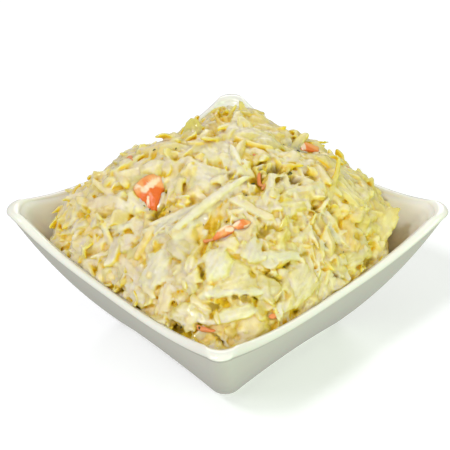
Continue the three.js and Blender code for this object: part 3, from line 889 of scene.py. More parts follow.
def batchMesh(batch, reach, air, name, material):
    whole = joined(batch)
    points = keepInBowl(whole["points"], reach, air)
    attributes = {"tint": np.clip(whole["tint"], 0, 1), "grain": whole["grain"]}
    return makeMesh(name, points, whole["quads"], whole["triangles"], attributes, material)


palettes = {
    "pale": ["#F9ECC4", "#F8E7B2", "#F9E9BA", "#F7E3A6", "#F9EEC8"],
    "yellow": ["#F9E194", "#F7DB84", "#F9E3A2"],
    "green": ["#F3E5AC", "#F0E19C", "#F4E7B8", "#EDDE90", "#F4E9C4"],
    "clear": ["#F1E5BC", "#F3E7C6", "#ECDFAC"],
    # painted shade: the golden of the leaf that lies in the shade under the hood
    "gold": ["#F2D35C", "#F0CE50"],
    "beige": ["#F3E4B4", "#F0DFA8"],
    "white": ["#F8F1CE", "#F8EEC8", "#F7ECC0"],
    "olive": ["#E6DCA6", "#DCD292"],
    "carrot": ["#FDB070", "#FAA060", "#FDBC88", "#F89450"],
    "herb": ["#4A5420", "#5E6A2A", "#3B3A1C", "#6B5A2C"],
}
tintRange = {"brightness": (0.82, 0.9), "cast": (0.99, 0.97, 1.08), "edgeCast": (0.15, 0.1, 0.5)}
edgeTint = {"chip": 0.25, "strip": 0.15}
paletteColours = {name: np.array([linearColour(h) for h in hexes]) for name, hexes in palettes.items()}


def pieceTint(palette, across, lengthwise, rng, edge=0.0):
    colours = paletteColours[palette]
    one, two = colours[rng.integers(len(colours))], colours[rng.integers(len(colours))]
    base = mix(one, two, ((lengthwise + 1) / 2)[:, None])
    base = base * rng.uniform(*tintRange["brightness"]) * np.array(tintRange["cast"])
    return base * (1 - edge * across[:, None] ** 2 * np.array(tintRange["edgeCast"]))


stripKind = {"form": "strip", "palette": "pale", "bluntness": 10, "ring": 14, "step": 0.95}
chipKind = {"form": "chip", "palette": "pale", "drape": 0.5, "spokes": 34, "rings": 7, "cup": -0.8}
kinds = {  # widths, lengths and thicknesses in mm, and how ribbed, ragged, cupped and ruffled a piece is
    "paleShreds": {**stripKind, "width": (2.6, 5.0), "length": (13, 30), "thick": (1.4, 2.2),
                   "rib": 0.12, "ragged": 0.1, "cup": -0.35, "ruffle": 0.25},
    "greenShreds": {**stripKind, "palette": "green", "width": (2.6, 5.0), "length": (12, 28),
                    "thick": (1.3, 2.0), "rib": 0.14, "ragged": 0.12, "cup": -0.4, "ruffle": 0.35},
    "thickRibs": {**stripKind, "palette": "clear", "width": (3.8, 6.2), "length": (8, 17),
                  "thick": (2.2, 3.0), "rib": 0.08, "ragged": 0.1, "bluntness": 16, "cup": 0.6,
                  "ruffle": 0.15, "ring": 16, "step": 0.9},
    "strands": {**stripKind, "width": (1.4, 2.4), "length": (11, 26), "thick": (1.4, 2.0),
                "rib": 0.05, "ragged": 0.1, "cup": 0.05, "ruffle": 0.1, "ring": 9, "step": 0.9},
    "slivers": {**stripKind, "width": (1.2, 2.3), "length": (4, 13), "thick": (0.6, 1.0),
                "rib": 0.1, "ragged": 0.15, "cup": 0.1, "ruffle": 0.15, "ring": 8, "step": 1.0},
    "leafChips": {**chipKind, "width": (6, 12), "length": (9, 19), "thick": (1.4, 2.1),
                  "rib": 0.12, "ragged": 0.03, "wave": 0.7},
    "greenChips": {**chipKind, "palette": "green", "width": (6, 11), "length": (9, 17), "thick": (1.3, 1.9),
                   "rib": 0.16, "ragged": 0.035, "wave": 0.8},
    "coatedLumps": {**chipKind, "palette": "white", "width": (3.5, 6.5), "length": (4.5, 9),
                    "thick": (2.2, 3.2), "rib": 0.1, "ragged": 0.03, "cup": -0.3, "wave": 0.5, "drape": 0.6,
                    "spokes": 24, "rings": 5},
}


def between(values, draw):
    return mix(values[0], values[1], draw)


looseness = {  # odds and spreads of how a piece lies: angles in radians, lengths in mm
    "anyhow": 0.35, "heading": 0.5, "top": (-8, 8), "pitch": 0.18, "steepest": 0.5, "roll": 0.28,
    "twist": 0.3, "sway": 0.03, "shortBias": 1.3, "sink": 0.4, "stiffness": 10,
    "tips": (1.0, 0.75, 0.25), "tails": (1.0, 1.0, 0.5), "slant": 0.8, "cupSpread": 0.7,
    "curled": 0.3, "curls": (-1.5, 3.0),
    "chipPitch": (-0.1, 0.3), "chipRoll": 0.16, "chipWave": (0.5, 1.5), "folds": (0, 0, 0.45, -0.45),
    "foldSpread": (0.5, 1.2),
}


def downhill(x, y, rng):
    # most pieces lie roughly down the slope, a third lie anyhow
    if rng.random() < looseness["anyhow"]:
        return rng.uniform(0, 2 * math.pi)
    topX, topY = looseness["top"]
    return math.atan2(y - topY, x - topX) + rng.normal(0, looseness["heading"])


def makeItem(kind, x, y, rng, **known):
    shape, loose = kinds[kind], looseness
    item = {
        **shape, "kind": kind, "x": x, "y": y, "heading": downhill(x, y, rng),
        "pitch": np.clip(rng.normal(0, loose["pitch"]), -loose["steepest"], loose["steepest"]),
        "roll": rng.normal(0, loose["roll"]), "twist": rng.normal(0, loose["twist"]),
        "sway": rng.normal(0, loose["sway"]), "width": between(shape["width"], rng.random()),
        "length": between(shape["length"], rng.random() ** loose["shortBias"]),
        "thick": between(shape["thick"], rng.random()), "sink": loose["sink"],
        "stiffness": loose["stiffness"], "curl": 0.0, "tip": rng.choice(loose["tips"]),
        "tail": rng.choice(loose["tails"]),
        "slant": rng.uniform(-loose["slant"], loose["slant"]),
        "slantBack": rng.uniform(-loose["slant"], loose["slant"]),
        "cup": shape["cup"] * rng.normal(1.0, loose["cupSpread"]),
    }
    if shape["form"] == "strip" and rng.random() < loose["curled"]:
        item["curl"] = rng.uniform(*loose["curls"])
    if shape["form"] == "chip":
        item["pitch"], item["roll"] = rng.uniform(*loose["chipPitch"]), rng.normal(0, loose["chipRoll"])
        item["wave"] = shape["wave"] * rng.uniform(*loose["chipWave"])
        item["fold"] = rng.choice(loose["folds"]) * rng.uniform(*loose["foldSpread"])
    item.update(known)
    return item


piling = {"laneWidth": 0.5, "fewestLanes": 4, "covered": 0.92, "ringParts": (0, 0.34, 0.67)}


def putDown(shell, batches, item, rng):
    if item["form"] == "strip":
        line, side, up = layStrip(shell, item)
        points, quads, caps, grain, across, lengthwise = stripMesh(item, line, side, up, rng)
        count = max(piling["fewestLanes"], int(item["width"] / piling["laneWidth"]))
        lanes = np.linspace(-0.5, 0.5, count) * item["width"] * piling["covered"]
        top = line[:, None] + side[:, None] * lanes[None, :, None] + up[:, None] * item["thick"] * 0.5
        pileOn(shell, top)
    else:
        surface, outward, x, y, share = layChip(shell, item, rng)
        points, quads, caps, grain, across, lengthwise = chipMesh(item, surface, outward, x, y, share, rng)
        for fraction in piling["ringParts"]:
            inner = mix(surface[:-1], surface[1:], fraction)
            for turn in (0, 0.5):
                pileOn(shell, mix(inner, np.roll(inner, -1, 1), turn) + outward[:-1] * item["thick"] * 0.5)
    tint = pieceTint(item["palette"], across, lengthwise, rng, edgeTint[item["form"]])
    addToBatch(batches[item["kind"]], points, quads, caps, grain, tint)


# the heap is filled where it lies furthest below its outline

fillPlan = {"pieces": 950, "topLayer": 1.2, "lookAgain": 8, "blur": 5, "tries": 30, "luck": 0.5}
bundlePlan = {
    "strands": (3, 6), "fan": 0.07, "spacing": 1.02, "stagger": 1.5, "widths": (0.8, 1.15),
    "lengths": (0.75, 1.05), "palettes": ("pale", "yellow", "green"),
}
fillMix = {
    "paleShreds": 0.32, "greenShreds": 0.2, "thickRibs": 0.05, "leafChips": 0.1, "greenChips": 0.07,
    "coatedLumps": 0.03, "strands": 0.17,
}


def putBundle(shell, batches, x, y, rng):
    # strands that were cut side by side and still lie so
    plan = bundlePlan
    palette = rng.choice(plan["palettes"])
    lead = makeItem("strands", x, y, rng, palette=palette)
    _, along, across, _ = seat(x, y, lead["heading"])
    for i in range(rng.integers(*plan["strands"])):
        offset = across * i * lead["width"] * plan["spacing"]
        offset = offset + along * rng.normal(0, plan["stagger"])
        strand = makeItem(
            "strands", x + offset[0], y + offset[1], rng,
            heading=lead["heading"] + rng.normal(0, plan["fan"]),
            width=lead["width"] * rng.uniform(*plan["widths"]),
            length=lead["length"] * rng.uniform(*plan["lengths"]), sway=lead["sway"], palette=palette,
        )
        putDown(shell, batches, strand, rng)


def fillHeap(shell, batches, rng):
    names = list(fillMix)
    odds = np.array(list(fillMix.values()))
    cells = np.flatnonzero(shell["free"])
    for i in range(fillPlan["pieces"]):
        if i % fillPlan["lookAgain"] == 0:
            lack = boxBlur(shell["goal"] - fillPlan["topLayer"] - shell["pile"], fillPlan["blur"])
        tries = rng.choice(cells, fillPlan["tries"])
        best = tries[np.argmax(lack.flat[tries] + rng.uniform(0, fillPlan["luck"], len(tries)))]
        spot = shellShape["centre"] + shell["directions"].reshape(-1, 3)[best] * shell["goal"].flat[best]
        kind = names[rng.choice(len(names), p=odds / odds.sum())]
        if kind == "strands":
            putBundle(shell, batches, spot[0], spot[1], rng)
        else:
            putDown(shell, batches, makeItem(kind, spot[0], spot[1], rng), rng)


# strips and leaves that the photo shows, by their pixels, and loose ones where the solid model has them

placedStrips = {  # pixels of the photo at the two ends, width, kind, palette, lift, and what is special
    "whiteStrip": ((228, 150), (243, 176), 3.0, "paleShreds", "white", 1.1, {}),
    "hoodRib": ((234, 144), (271, 154), 2.4, "paleShreds", "pale", 1.4, {}),
    "standingOne": ((272, 174), (266, 200), 4.0, "paleShreds", "pale", 0.9, {}),
    "standingTwo": ((282, 176), (289, 193), 3.2, "paleShreds", "pale", 0.9, {}),
    "ridgeOne": ((206, 201), (155, 228), 2.3, "strands", "pale", 0.6, {"stiffness": 40}),
    "ridgeTwo": ((209, 205), (156, 233), 2.3, "strands", "white", 0.6, {"stiffness": 40}),
    "ridgeThree": ((205, 214), (162, 238), 2.2, "strands", "pale", 0.5, {"stiffness": 40}),
    "crossing": ((230, 200), (270, 223), 3.4, "paleShreds", "pale", 0.8, {}),
    "thinYellow": ((250, 240), (310, 256), 2.0, "strands", "yellow", 0.5, {}),
    "lowStrip": ((202, 297), (262, 291), 3.8, "paleShreds", "white", 0.8, {}),
    "arc": ((291, 191), (323, 186), 3.2, "greenShreds", "green", 0.8, {"sway": -0.06}),
    "slantOne": ((305, 217), (326, 249), 2.9, "paleShreds", "pale", 0.6, {}),
    "slantTwo": ((311, 215), (332, 246), 2.6, "paleShreds", "yellow", 0.5, {}),
    "slantThree": ((322, 213), (342, 246), 3.4, "paleShreds", "pale", 0.8, {}),
    "yellowStrip": ((341, 220), (357, 250), 4.8, "paleShreds", "yellow", 0.6, {}),
    "nearRim": ((321, 264), (360, 276), 3.2, "greenShreds", "green", 0.6, {}),
    "leftUpright": ((83, 196), (68, 231), 2.8, "greenShreds", "green", 0.8, {}),
    "leftLeaf": ((133, 201), (93, 212), 5.5, "paleShreds", "pale", 0.8, {}),
    "leftStrip": ((90, 214), (77, 236), 2.4, "paleShreds", "pale", 0.5, {}),
    "whiteBar": ((100, 232), (130, 224), 3.2, "paleShreds", "white", 0.5, {}),
    "bridge": ((158, 229), (138, 262), 3.0, "paleShreds", "yellow", 0.9, {}),
    "loopOne": ((164, 171), (187, 165), 2.6, "greenShreds", "green", 0.6, {}),
    "loopTwo": ((187, 167), (171, 200), 3.0, "greenShreds", "green", 0.8, {"sway": 0.04}),
    "frontOne": ((168, 284), (160, 316), 3.2, "paleShreds", "pale", 0.5, {}),
    "frontTwo": ((156, 278), (150, 303), 2.8, "paleShreds", "yellow", 0, {}),
    "foldedEdge": ((256, 304), (237, 320), 2.8, "paleShreds", "white", 0.9, {}),
    "lowEdge": ((197, 324), (236, 321), 2.2, "paleShreds", "white", 0.6, {}),
    "longGreen": ((247, 176), (176, 240), 4.2, "greenShreds", "white", 1.6,
                  {"sway": 0.003, "stiffness": 60, "tip": 0.8, "thick": 2.2}),
}
carrotOutlines = {  # outline in pixels of the photo, height above the pile, and smears of dressing
    "carrot_chunk_left": {
        "outline": [(134, 187), (142, 179), (153, 174), (161, 178), (164, 184), (160, 197), (157, 208),
                    (150, 211), (145, 205), (137, 195)],
        "lift": 0.9, "rise": 1.5, "paler": 0.0,
        "cream": [((144, 190), (157, 180), 3.2), ((135, 189), (138, 186), 2.2),
                  ((148, 197), (148, 205), 1.2)],
    },
    "carrot_piece_middle_left": {
        "outline": [(213, 238), (218, 231), (226, 225), (233, 227), (234, 232), (224, 237), (215, 240)],
        "lift": 1.3, "rise": 1.6, "paler": 0.4,
        "cream": [((219, 230), (227, 225), 2.2), ((227, 229), (233, 229), 2.4)],
    },
    "carrot_piece_middle_right": {
        "outline": [(232, 226), (237, 221), (243, 219), (251, 222), (247, 227), (239, 229)],
        "lift": 1.4, "rise": 1.5, "paler": 0.4,
        "cream": [((233, 226), (238, 223), 2.2), ((245, 227), (250, 225), 1.4)],
    },
    "carrot_piece_back_right": {
        "outline": [(291, 143), (296, 140), (306, 143), (313, 143), (320, 147), (319, 152), (306, 151),
                    (294, 149)],
        "lift": 2.8, "rise": 1.2, "paler": 0.3,
        "cream": [((300, 141), (304, 148), 2.2)],
    },
}
seeded = {  # pieces that follow the solid model's dice: sizes as the least and what the dice may add, in mm
    "crowding": 0.44, "jitter": 3, "carrotGap": 5, "gapShare": 0.3,
    "shreds": {
        "seed": 7, "count": 70, "reach": 0.95, "steepOdds": 0.08, "steepPitch": 0.45, "steepLength": 0.7,
        "pitch": 0.22, "roll": 0.9, "length": (13, 18), "shortBias": 1.3, "width": (3.4, 1.6), "lift": 0.4,
        "sway": 0.05, "greenOdds": 0.35,
    },
    "chips": {
        "seed": 23, "count": 26, "reach": 0.85, "pitch": 0.4, "pitchMiddle": 0.3, "roll": 0.4,
        "length": (10, 7), "width": (7, 4), "greenOdds": 0.4,
    },
}
straightLie = {"pitch": 0.0, "roll": 0.0, "twist": 0.1, "curl": 0.3}
leafShape = {  # halfSpan: pixels to each side over which a leaf's direction is taken
    "thick": 1.8, "width": 10, "length": 14, "cup": -0.7, "wave": 0.35, "drape": 0.35, "ragged": 0.035,
    "facing": 0.6, "spokes": 44, "rings": 9, "rib": 0.14, "halfSpan": 12,
}
seenLeaves = {  # palette, height above the pile, what is special, and the outline in pixels of the photo
    "wetSlope": ("pale", 0.5, {"wave": 0.5, "rib": 0.2}, [
        (186, 163), (195, 158), (207, 164), (222, 170), (228, 177), (221, 190), (208, 200), (196, 197),
        (187, 190), (183, 176)]),
    "creamShoulder": ("pale", 0.2, {}, [
        (140, 168), (150, 160), (163, 158), (168, 165), (165, 172), (160, 180), (150, 176), (142, 178)]),
    "lowLeft": ("white", 0.2, {}, [(124, 283), (136, 281), (150, 291), (152, 303), (142, 305), (130, 296)]),
    "middleLump": ("pale", 0.7, {"thick": 2.2}, [
        (214, 246), (221, 238), (234, 237), (240, 246), (236, 254), (224, 250)]),
    "greenRight": ("green", 0.5, {"wave": 0.5, "rib": 0.25}, [
        (233, 259), (245, 263), (252, 272), (258, 284), (260, 297), (249, 296), (240, 291), (230, 297),
        (214, 298), (203, 295), (212, 288), (222, 281), (231, 275)]),
    "crinkled": ("green", 0.6, {"wave": 1.0, "rib": 0.4}, [
        (255, 197), (268, 200), (288, 192), (305, 188), (317, 192), (312, 203), (304, 213), (291, 217),
        (276, 212), (262, 207)]),
    "frontLeft": ("pale", 0.4, {}, [
        (158, 303), (166, 286), (173, 282), (176, 299), (170, 316), (161, 318), (155, 310)]),
    "lowRight": ("green", 0.5, {}, [
        (320, 263), (335, 255), (355, 250), (367, 240), (374, 250), (372, 259), (360, 262), (352, 268),
        (334, 269)]),
    "clearTwo": ("clear", 0.5, {"rib": 0.3}, [
        (182, 258), (193, 262), (198, 275), (200, 288), (194, 297), (184, 290), (178, 276)]),
    "frontRight": ("pale", 0.4, {}, [
        (240, 319), (256, 312), (269, 318), (268, 328), (255, 335), (242, 338), (235, 330)]),
    "frontYellow": ("yellow", 0.4, {}, [(223, 326), (231, 324), (238, 331), (233, 338), (227, 337)]),
    "standing": ("clear", 1.4, {"stand": True, "facing": 3.0, "ragged": 0.01}, [
        (237, 108), (238, 104), (242, 104), (245, 110), (250, 117), (252, 124), (245, 124), (240, 115)]),
    "cupLeaf": ("olive", 1.8, {"stand": True, "facing": 2.0, "cup": -1.6, "rib": 0.2}, [
        (184, 136), (187, 127), (193, 121), (199, 122), (203, 129), (205, 140), (208, 147), (200, 157),
        (195, 155), (188, 147)]),
    "topLeaf": ("pale", 0.6, {"wave": 0.6}, [
        (248, 121), (262, 121), (277, 121), (281, 126), (286, 134), (290, 141), (287, 149), (278, 150),
        (266, 145), (256, 140), (249, 132)]),
    # painted shade: a leaf down inside the hood, painted golden for the shade that falls under it
    "shadedUnderHood": ("gold", -0.6, {}, [
        (232, 150), (240, 152), (252, 154), (258, 160), (254, 168), (246, 172), (238, 166), (233, 157)]),
    "hood": ("green", 3.2, {"cup": -2.4, "rib": 0.35, "thick": 1.6}, [
        (231, 142), (238, 135), (250, 131), (262, 133), (275, 140), (285, 148), (284, 154), (272, 160),
        (262, 161), (252, 152), (240, 151), (233, 150)]),
    "peakCrest": ("white", 0.9, {"wave": 0.6}, [
        (222, 138), (229, 129), (236, 121), (246, 123), (248, 130), (241, 137), (233, 142), (229, 151),
        (224, 149)]),
    "whiteFall": ("white", 0.4, {"wave": 0.5}, [
        (202, 147), (212, 140), (222, 136), (229, 148), (232, 160), (230, 172), (225, 178), (222, 168),
        (212, 168), (203, 165), (199, 157)]),
    "leftPale": ("yellow", 0.5, {"rib": 0.25}, [
        (90, 209), (104, 203), (122, 202), (133, 206), (130, 216), (112, 219), (96, 216)]),
    "carrotCream": ("white", 0.7, {"wave": 0.6}, [
        (129, 194), (134, 191), (140, 199), (147, 210), (146, 216), (138, 218), (131, 214), (127, 206)]),
    "wetLump": ("white", 0.8, {"wave": 0.7, "thick": 2.4}, [
        (152, 252), (167, 250), (175, 258), (173, 270), (174, 283), (160, 287), (146, 290), (139, 285),
        (147, 268)]),
    "clearRib": ("clear", 0.9, {"thick": 2.4}, [
        (167, 242), (180, 236), (192, 242), (195, 252), (190, 262), (181, 262), (173, 256), (168, 250)]),
    "chunkLeaf": ("white", 0.9, {"thick": 2.2, "wave": 0.5}, [
        (202, 256), (210, 248), (222, 247), (230, 254), (234, 264), (230, 276), (216, 281), (208, 283),
        (204, 276), (206, 267)]),
    "whiteChunk": ("white", 1.0, {"thick": 2.2}, [
        (240, 250), (247, 243), (254, 236), (263, 247), (257, 254), (262, 263), (250, 265), (238, 258)]),
    "greenLeaf": ("green", 0.6, {"cup": -1.1}, [
        (258, 273), (269, 276), (279, 281), (282, 290), (275, 295), (262, 294), (255, 284)]),
    "whiteLeaf": ("white", 1.1, {"thick": 2.0}, [
        (254, 254), (268, 251), (290, 251), (305, 255), (301, 262), (290, 260), (277, 269), (264, 271),
        (258, 263)]),
    "creamLeaf": ("pale", 0.9, {"wave": 0.4, "thick": 2.2}, [
        (286, 284), (284, 275), (292, 268), (301, 262), (312, 271), (319, 282), (312, 292), (301, 300),
        (292, 308), (286, 298)]),
    "foldedFront": ("white", 0.7, {"thick": 2.2}, [
        (214, 317), (222, 308), (235, 305), (248, 302), (256, 306), (246, 314), (236, 320), (223, 321)]),
    "frontLump": ("white", 0.6, {"thick": 2.4, "wave": 0.5}, [
        (172, 312), (181, 302), (194, 300), (202, 310), (198, 322), (185, 325), (174, 319)]),
    "archRight": ("green", 0.9, {"cup": -1.2}, [
        (292, 184), (303, 177), (318, 179), (327, 184), (325, 196), (315, 191), (302, 190)]),
    "ridgeLeaf": ("green", 0.8, {"rib": 0.4}, [
        (322, 180), (332, 175), (341, 182), (352, 194), (362, 205), (364, 213), (352, 213), (340, 206),
        (330, 196)]),
    "skyLeaf": ("green", 0.8, {"facing": 2.0}, [
        (309, 161), (317, 152), (325, 153), (330, 150), (336, 160), (337, 172), (330, 177), (318, 175),
        (311, 169)]),
    "yellowLeaf": ("yellow", 0.3, {"rib": 0.3}, [
        (340, 226), (352, 225), (361, 247), (353, 262), (343, 256), (339, 240)]),
    "rightLeaf": ("beige", 0.4, {
        "facing": 1.6, "stand": True, "thick": 1.4, "cup": 0.8, "ragged": 0.06, "wave": 0.6}, [
        (362, 206), (372, 200), (385, 206), (400, 208), (396, 215), (400, 224), (392, 231), (390, 240),
        (381, 246), (377, 257), (372, 250), (374, 240), (369, 228), (364, 215)]),
}


def spanOf(start, end):
    rise = moundHeight(*end) - moundHeight(*start)
    run = math.dist(start, end)
    return {
        "x": (start[0] + end[0]) / 2, "y": (start[1] + end[1]) / 2,
        "heading": math.atan2(end[1] - start[1], end[0] - start[0]), "length": math.hypot(run, rise),
    }


def coversCarrot(x, y, length):
    gap = seeded["carrotGap"] + seeded["gapShare"] * length
    middles = (onHeap(np.mean(known["outline"], axis=0)) for known in carrotOutlines.values())
    return any(math.dist((x, y), middle) < gap for middle in middles)


def scatter(plan, draw):
    goldenAngle = math.pi * (3 - math.sqrt(5))
    places = []
    for i in range(plan["count"]):
        share = plan["reach"] * ((i + 0.5) / plan["count"]) ** seeded["crowding"]
        c, s = math.cos(i * goldenAngle), math.sin(i * goldenAngle)
        far = share / planShare(c, s)
        x = far * c + seeded["jitter"] * (draw() - 0.5)
        y = far * s + seeded["jitter"] * (draw() - 0.5)
        places.append((x, y))
    return places


def seededShreds(shell, batches, rng):
    plan = seeded["shreds"]
    draw = dice(plan["seed"])
    for x, y in scatter(plan, draw):
        steep = draw() < plan["steepOdds"]
        known = {"heading": 2 * math.pi * draw(), "lift": plan["lift"]}
        draw()  # pitch, which the slope decides here
        known["pitch"] = plan["steepPitch"] if steep else rng.normal(0, plan["pitch"])
        known["roll"] = plan["roll"] * (draw() - 0.5)
        draw()  # lift, which the pile decides here
        length = plan["length"][0] + plan["length"][1] * draw() ** plan["shortBias"]
        known["length"] = length * (plan["steepLength"] if steep else 1)
        known["width"] = plan["width"][0] + plan["width"][1] * draw()
        draw()  # thickness
        draw()  # sag
        known["sway"] = plan["sway"] * (draw() - 0.5)
        if coversCarrot(x, y, known["length"]):
            continue
        kind = "greenShreds" if rng.random() < plan["greenOdds"] else "paleShreds"
        putDown(shell, batches, makeItem(kind, x, y, rng, **known), rng)


def seededChips(shell, batches, rng):
    plan = seeded["chips"]
    draw = dice(plan["seed"])
    for x, y in scatter(plan, draw):
        known = {"heading": 2 * math.pi * draw(), "pitch": plan["pitch"] * (draw() - plan["pitchMiddle"])}
        known["roll"] = plan["roll"] * (draw() - 0.5)
        draw()  # lift, which the pile decides here
        for size in ("length", "width"):
            known[size] = plan[size][0] + plan[size][1] * draw()
        if coversCarrot(x, y, known["length"]):
            continue
        kind = "greenChips" if rng.random() < plan["greenOdds"] else "leafChips"
        putDown(shell, batches, makeItem(kind, x, y, rng, **known), rng)


def placedLeaves(shell, batches, rng):
    for palette, lift, special, outline in seenLeaves.values():
        middle = np.mean(outline, axis=0)
        longest = np.linalg.svd(np.array(outline) - middle, full_matrices=False)[2][0]
        spread = longest * leafShape["halfSpan"]
        known = {**leafShape, "lift": lift, "outline": outline, "palette": palette, **special}
        known["heading"] = spanOf(onHeap(middle - spread), onHeap(middle + spread))["heading"]
        putDown(shell, batches, makeItem("leafChips", *onHeap(middle), rng, **known), rng)


def layPlacedStrips(shell, batches, rng):
    for start, end, width, kind, palette, lift, special in placedStrips.values():
        known = {**straightLie, "width": width, "palette": palette, "lift": lift, **special}
        known.update(spanOf(onHeap(start), onHeap(end)))
        putDown(shell, batches, makeItem(kind, known.pop("x"), known.pop("y"), rng, **known), rng)


# how deep a point lies in the heap, from how much higher the slaw round it stands; this depth sets where
# shade is painted in the gaps

horizonPlan = {  # mm from the point at which the slaw's height is read, and the cell's size there
    "directions": 12, "distances": (0.7, 1.3, 2.4, 4.2, 7.0), "cell": 0.49, "ignored": 0.15,
    "sunkFrom": 2, "sunkSpan": 5, "sunkShare": 0.03,
}


def crevices(shell, points):
    own, column, row = shellPlace(points)
    pile, plan = shell["pile"], horizonPlan
    last = pile.shape[0] - 1
    blocked = np.zeros(len(points))
    for k in range(plan["directions"]):
        angle = 2 * math.pi * (k + 0.3) / plan["directions"]
        horizon = np.zeros(len(points))
        for distance in plan["distances"]:
            r = np.clip(np.rint(row + distance / plan["cell"] * math.sin(angle)), 0, last).astype(int)
            c = np.clip(np.rint(column + distance / plan["cell"] * math.cos(angle)), 0, last).astype(int)
            horizon = np.maximum(horizon, (pile[r, c] - own - plan["ignored"]) / distance)
        blocked += horizon / np.sqrt(1 + horizon ** 2) / plan["directions"]
    cell = (np.rint(row).astype(int), np.rint(column).astype(int))
    sunk = shell["mound"][cell] - own
    return blocked + plan["sunkShare"] * np.clip(sunk - plan["sunkFrom"], 0, plan["sunkSpan"])


def hollows(mesh, points, normals):
    # how far each point lies below the points round it, in shares of their distance, which sets where shade
    # is painted in hollows
    edges = np.empty(2 * len(mesh.edges), dtype=np.int64)
    mesh.edges.foreach_get("vertices", edges)
    one, two = edges.reshape(-1, 2).T
    offset = points[two] - points[one]
    span = np.linalg.norm(offset, axis=1)
    total, count = np.zeros(len(points)), np.zeros(len(points))
    np.add.at(total, one, (offset * normals[one]).sum(1) / span)
    np.add.at(total, two, -(offset * normals[two]).sum(1) / span)
    np.add.at(count, one, 1)
    np.add.at(count, two, 1)
    bend = total / count
    evenings, ownWeight = 5, 0.4
    for _ in range(evenings):
        spread = np.zeros(len(points))
        np.add.at(spread, one, bend[two])
        np.add.at(spread, two, bend[one])
        bend = ownWeight * bend + (1 - ownWeight) * spread / count
    return bend


paintedShade = {  # painted light and shade: colours and casts, how strong, and the range of slope, depth or bend over which each comes in
    "window": (0, 45), "windowRange": (-0.1, 0.85),  # azimuth and elevation that the light comes from
    "turnedAway": (1.02, 0.98, 0.6), "turnedTo": (0.99, 1.0, 1.12),
    "cast": (1.0, 0.95, 0.55), "castSlope": (0.02, 0.45), "castDepth": (0.02, 0.3),
    "golden": "#F2CA16", "goldenDepth": (0.08, 0.45), "depthShare": 0.92, "goldenBend": (0.04, 0.2),
    "goldenSlope": (0.5, 1.1), "deep": "#B8940E", "deepRange": (0.45, 0.8), "bendShare": 0.8, "share": 0.85,
}


def shadeSides(tint, normals):
    # painted light and shade: sides turned to the window are painted whiter and sides turned from it a deeper
    # yellow, as light that has come through the cabbage is yellower
    window = np.array(viewAxes(*paintedShade["window"])[0])
    lit = smoothStep(*paintedShade["windowRange"], normals @ window)[:, None]
    return tint * mix(np.array(paintedShade["turnedAway"]), np.array(paintedShade["turnedTo"]), lit)


def paintCreviceShade(tint, depth, bend, steep):
    # painted shade: gaps, hollows and steep sides are painted golden, as light between the pieces turns
    # golden, and the deepest gaps are painted olive
    plan = paintedShade
    golden, deep = linearColour(plan["golden"]), linearColour(plan["deep"])
    turned = smoothStep(*plan["castSlope"], steep) + smoothStep(*plan["castDepth"], depth)
    tint = tint * mix(np.ones(3), np.array(plan["cast"]), np.minimum(turned, 1)[:, None])
    tint = mix(tint, golden, plan["depthShare"] * smoothStep(*plan["goldenDepth"], depth)[:, None])
    tint = mix(tint, golden, plan["share"] * smoothStep(*plan["goldenBend"], bend)[:, None])
    tint = mix(tint, golden, plan["share"] * smoothStep(*plan["goldenSlope"], steep)[:, None])
    deepest = depth + plan["bendShare"] * np.maximum(bend, 0)
    return mix(tint, deep, plan["share"] * smoothStep(*plan["deepRange"], deepest)[:, None])


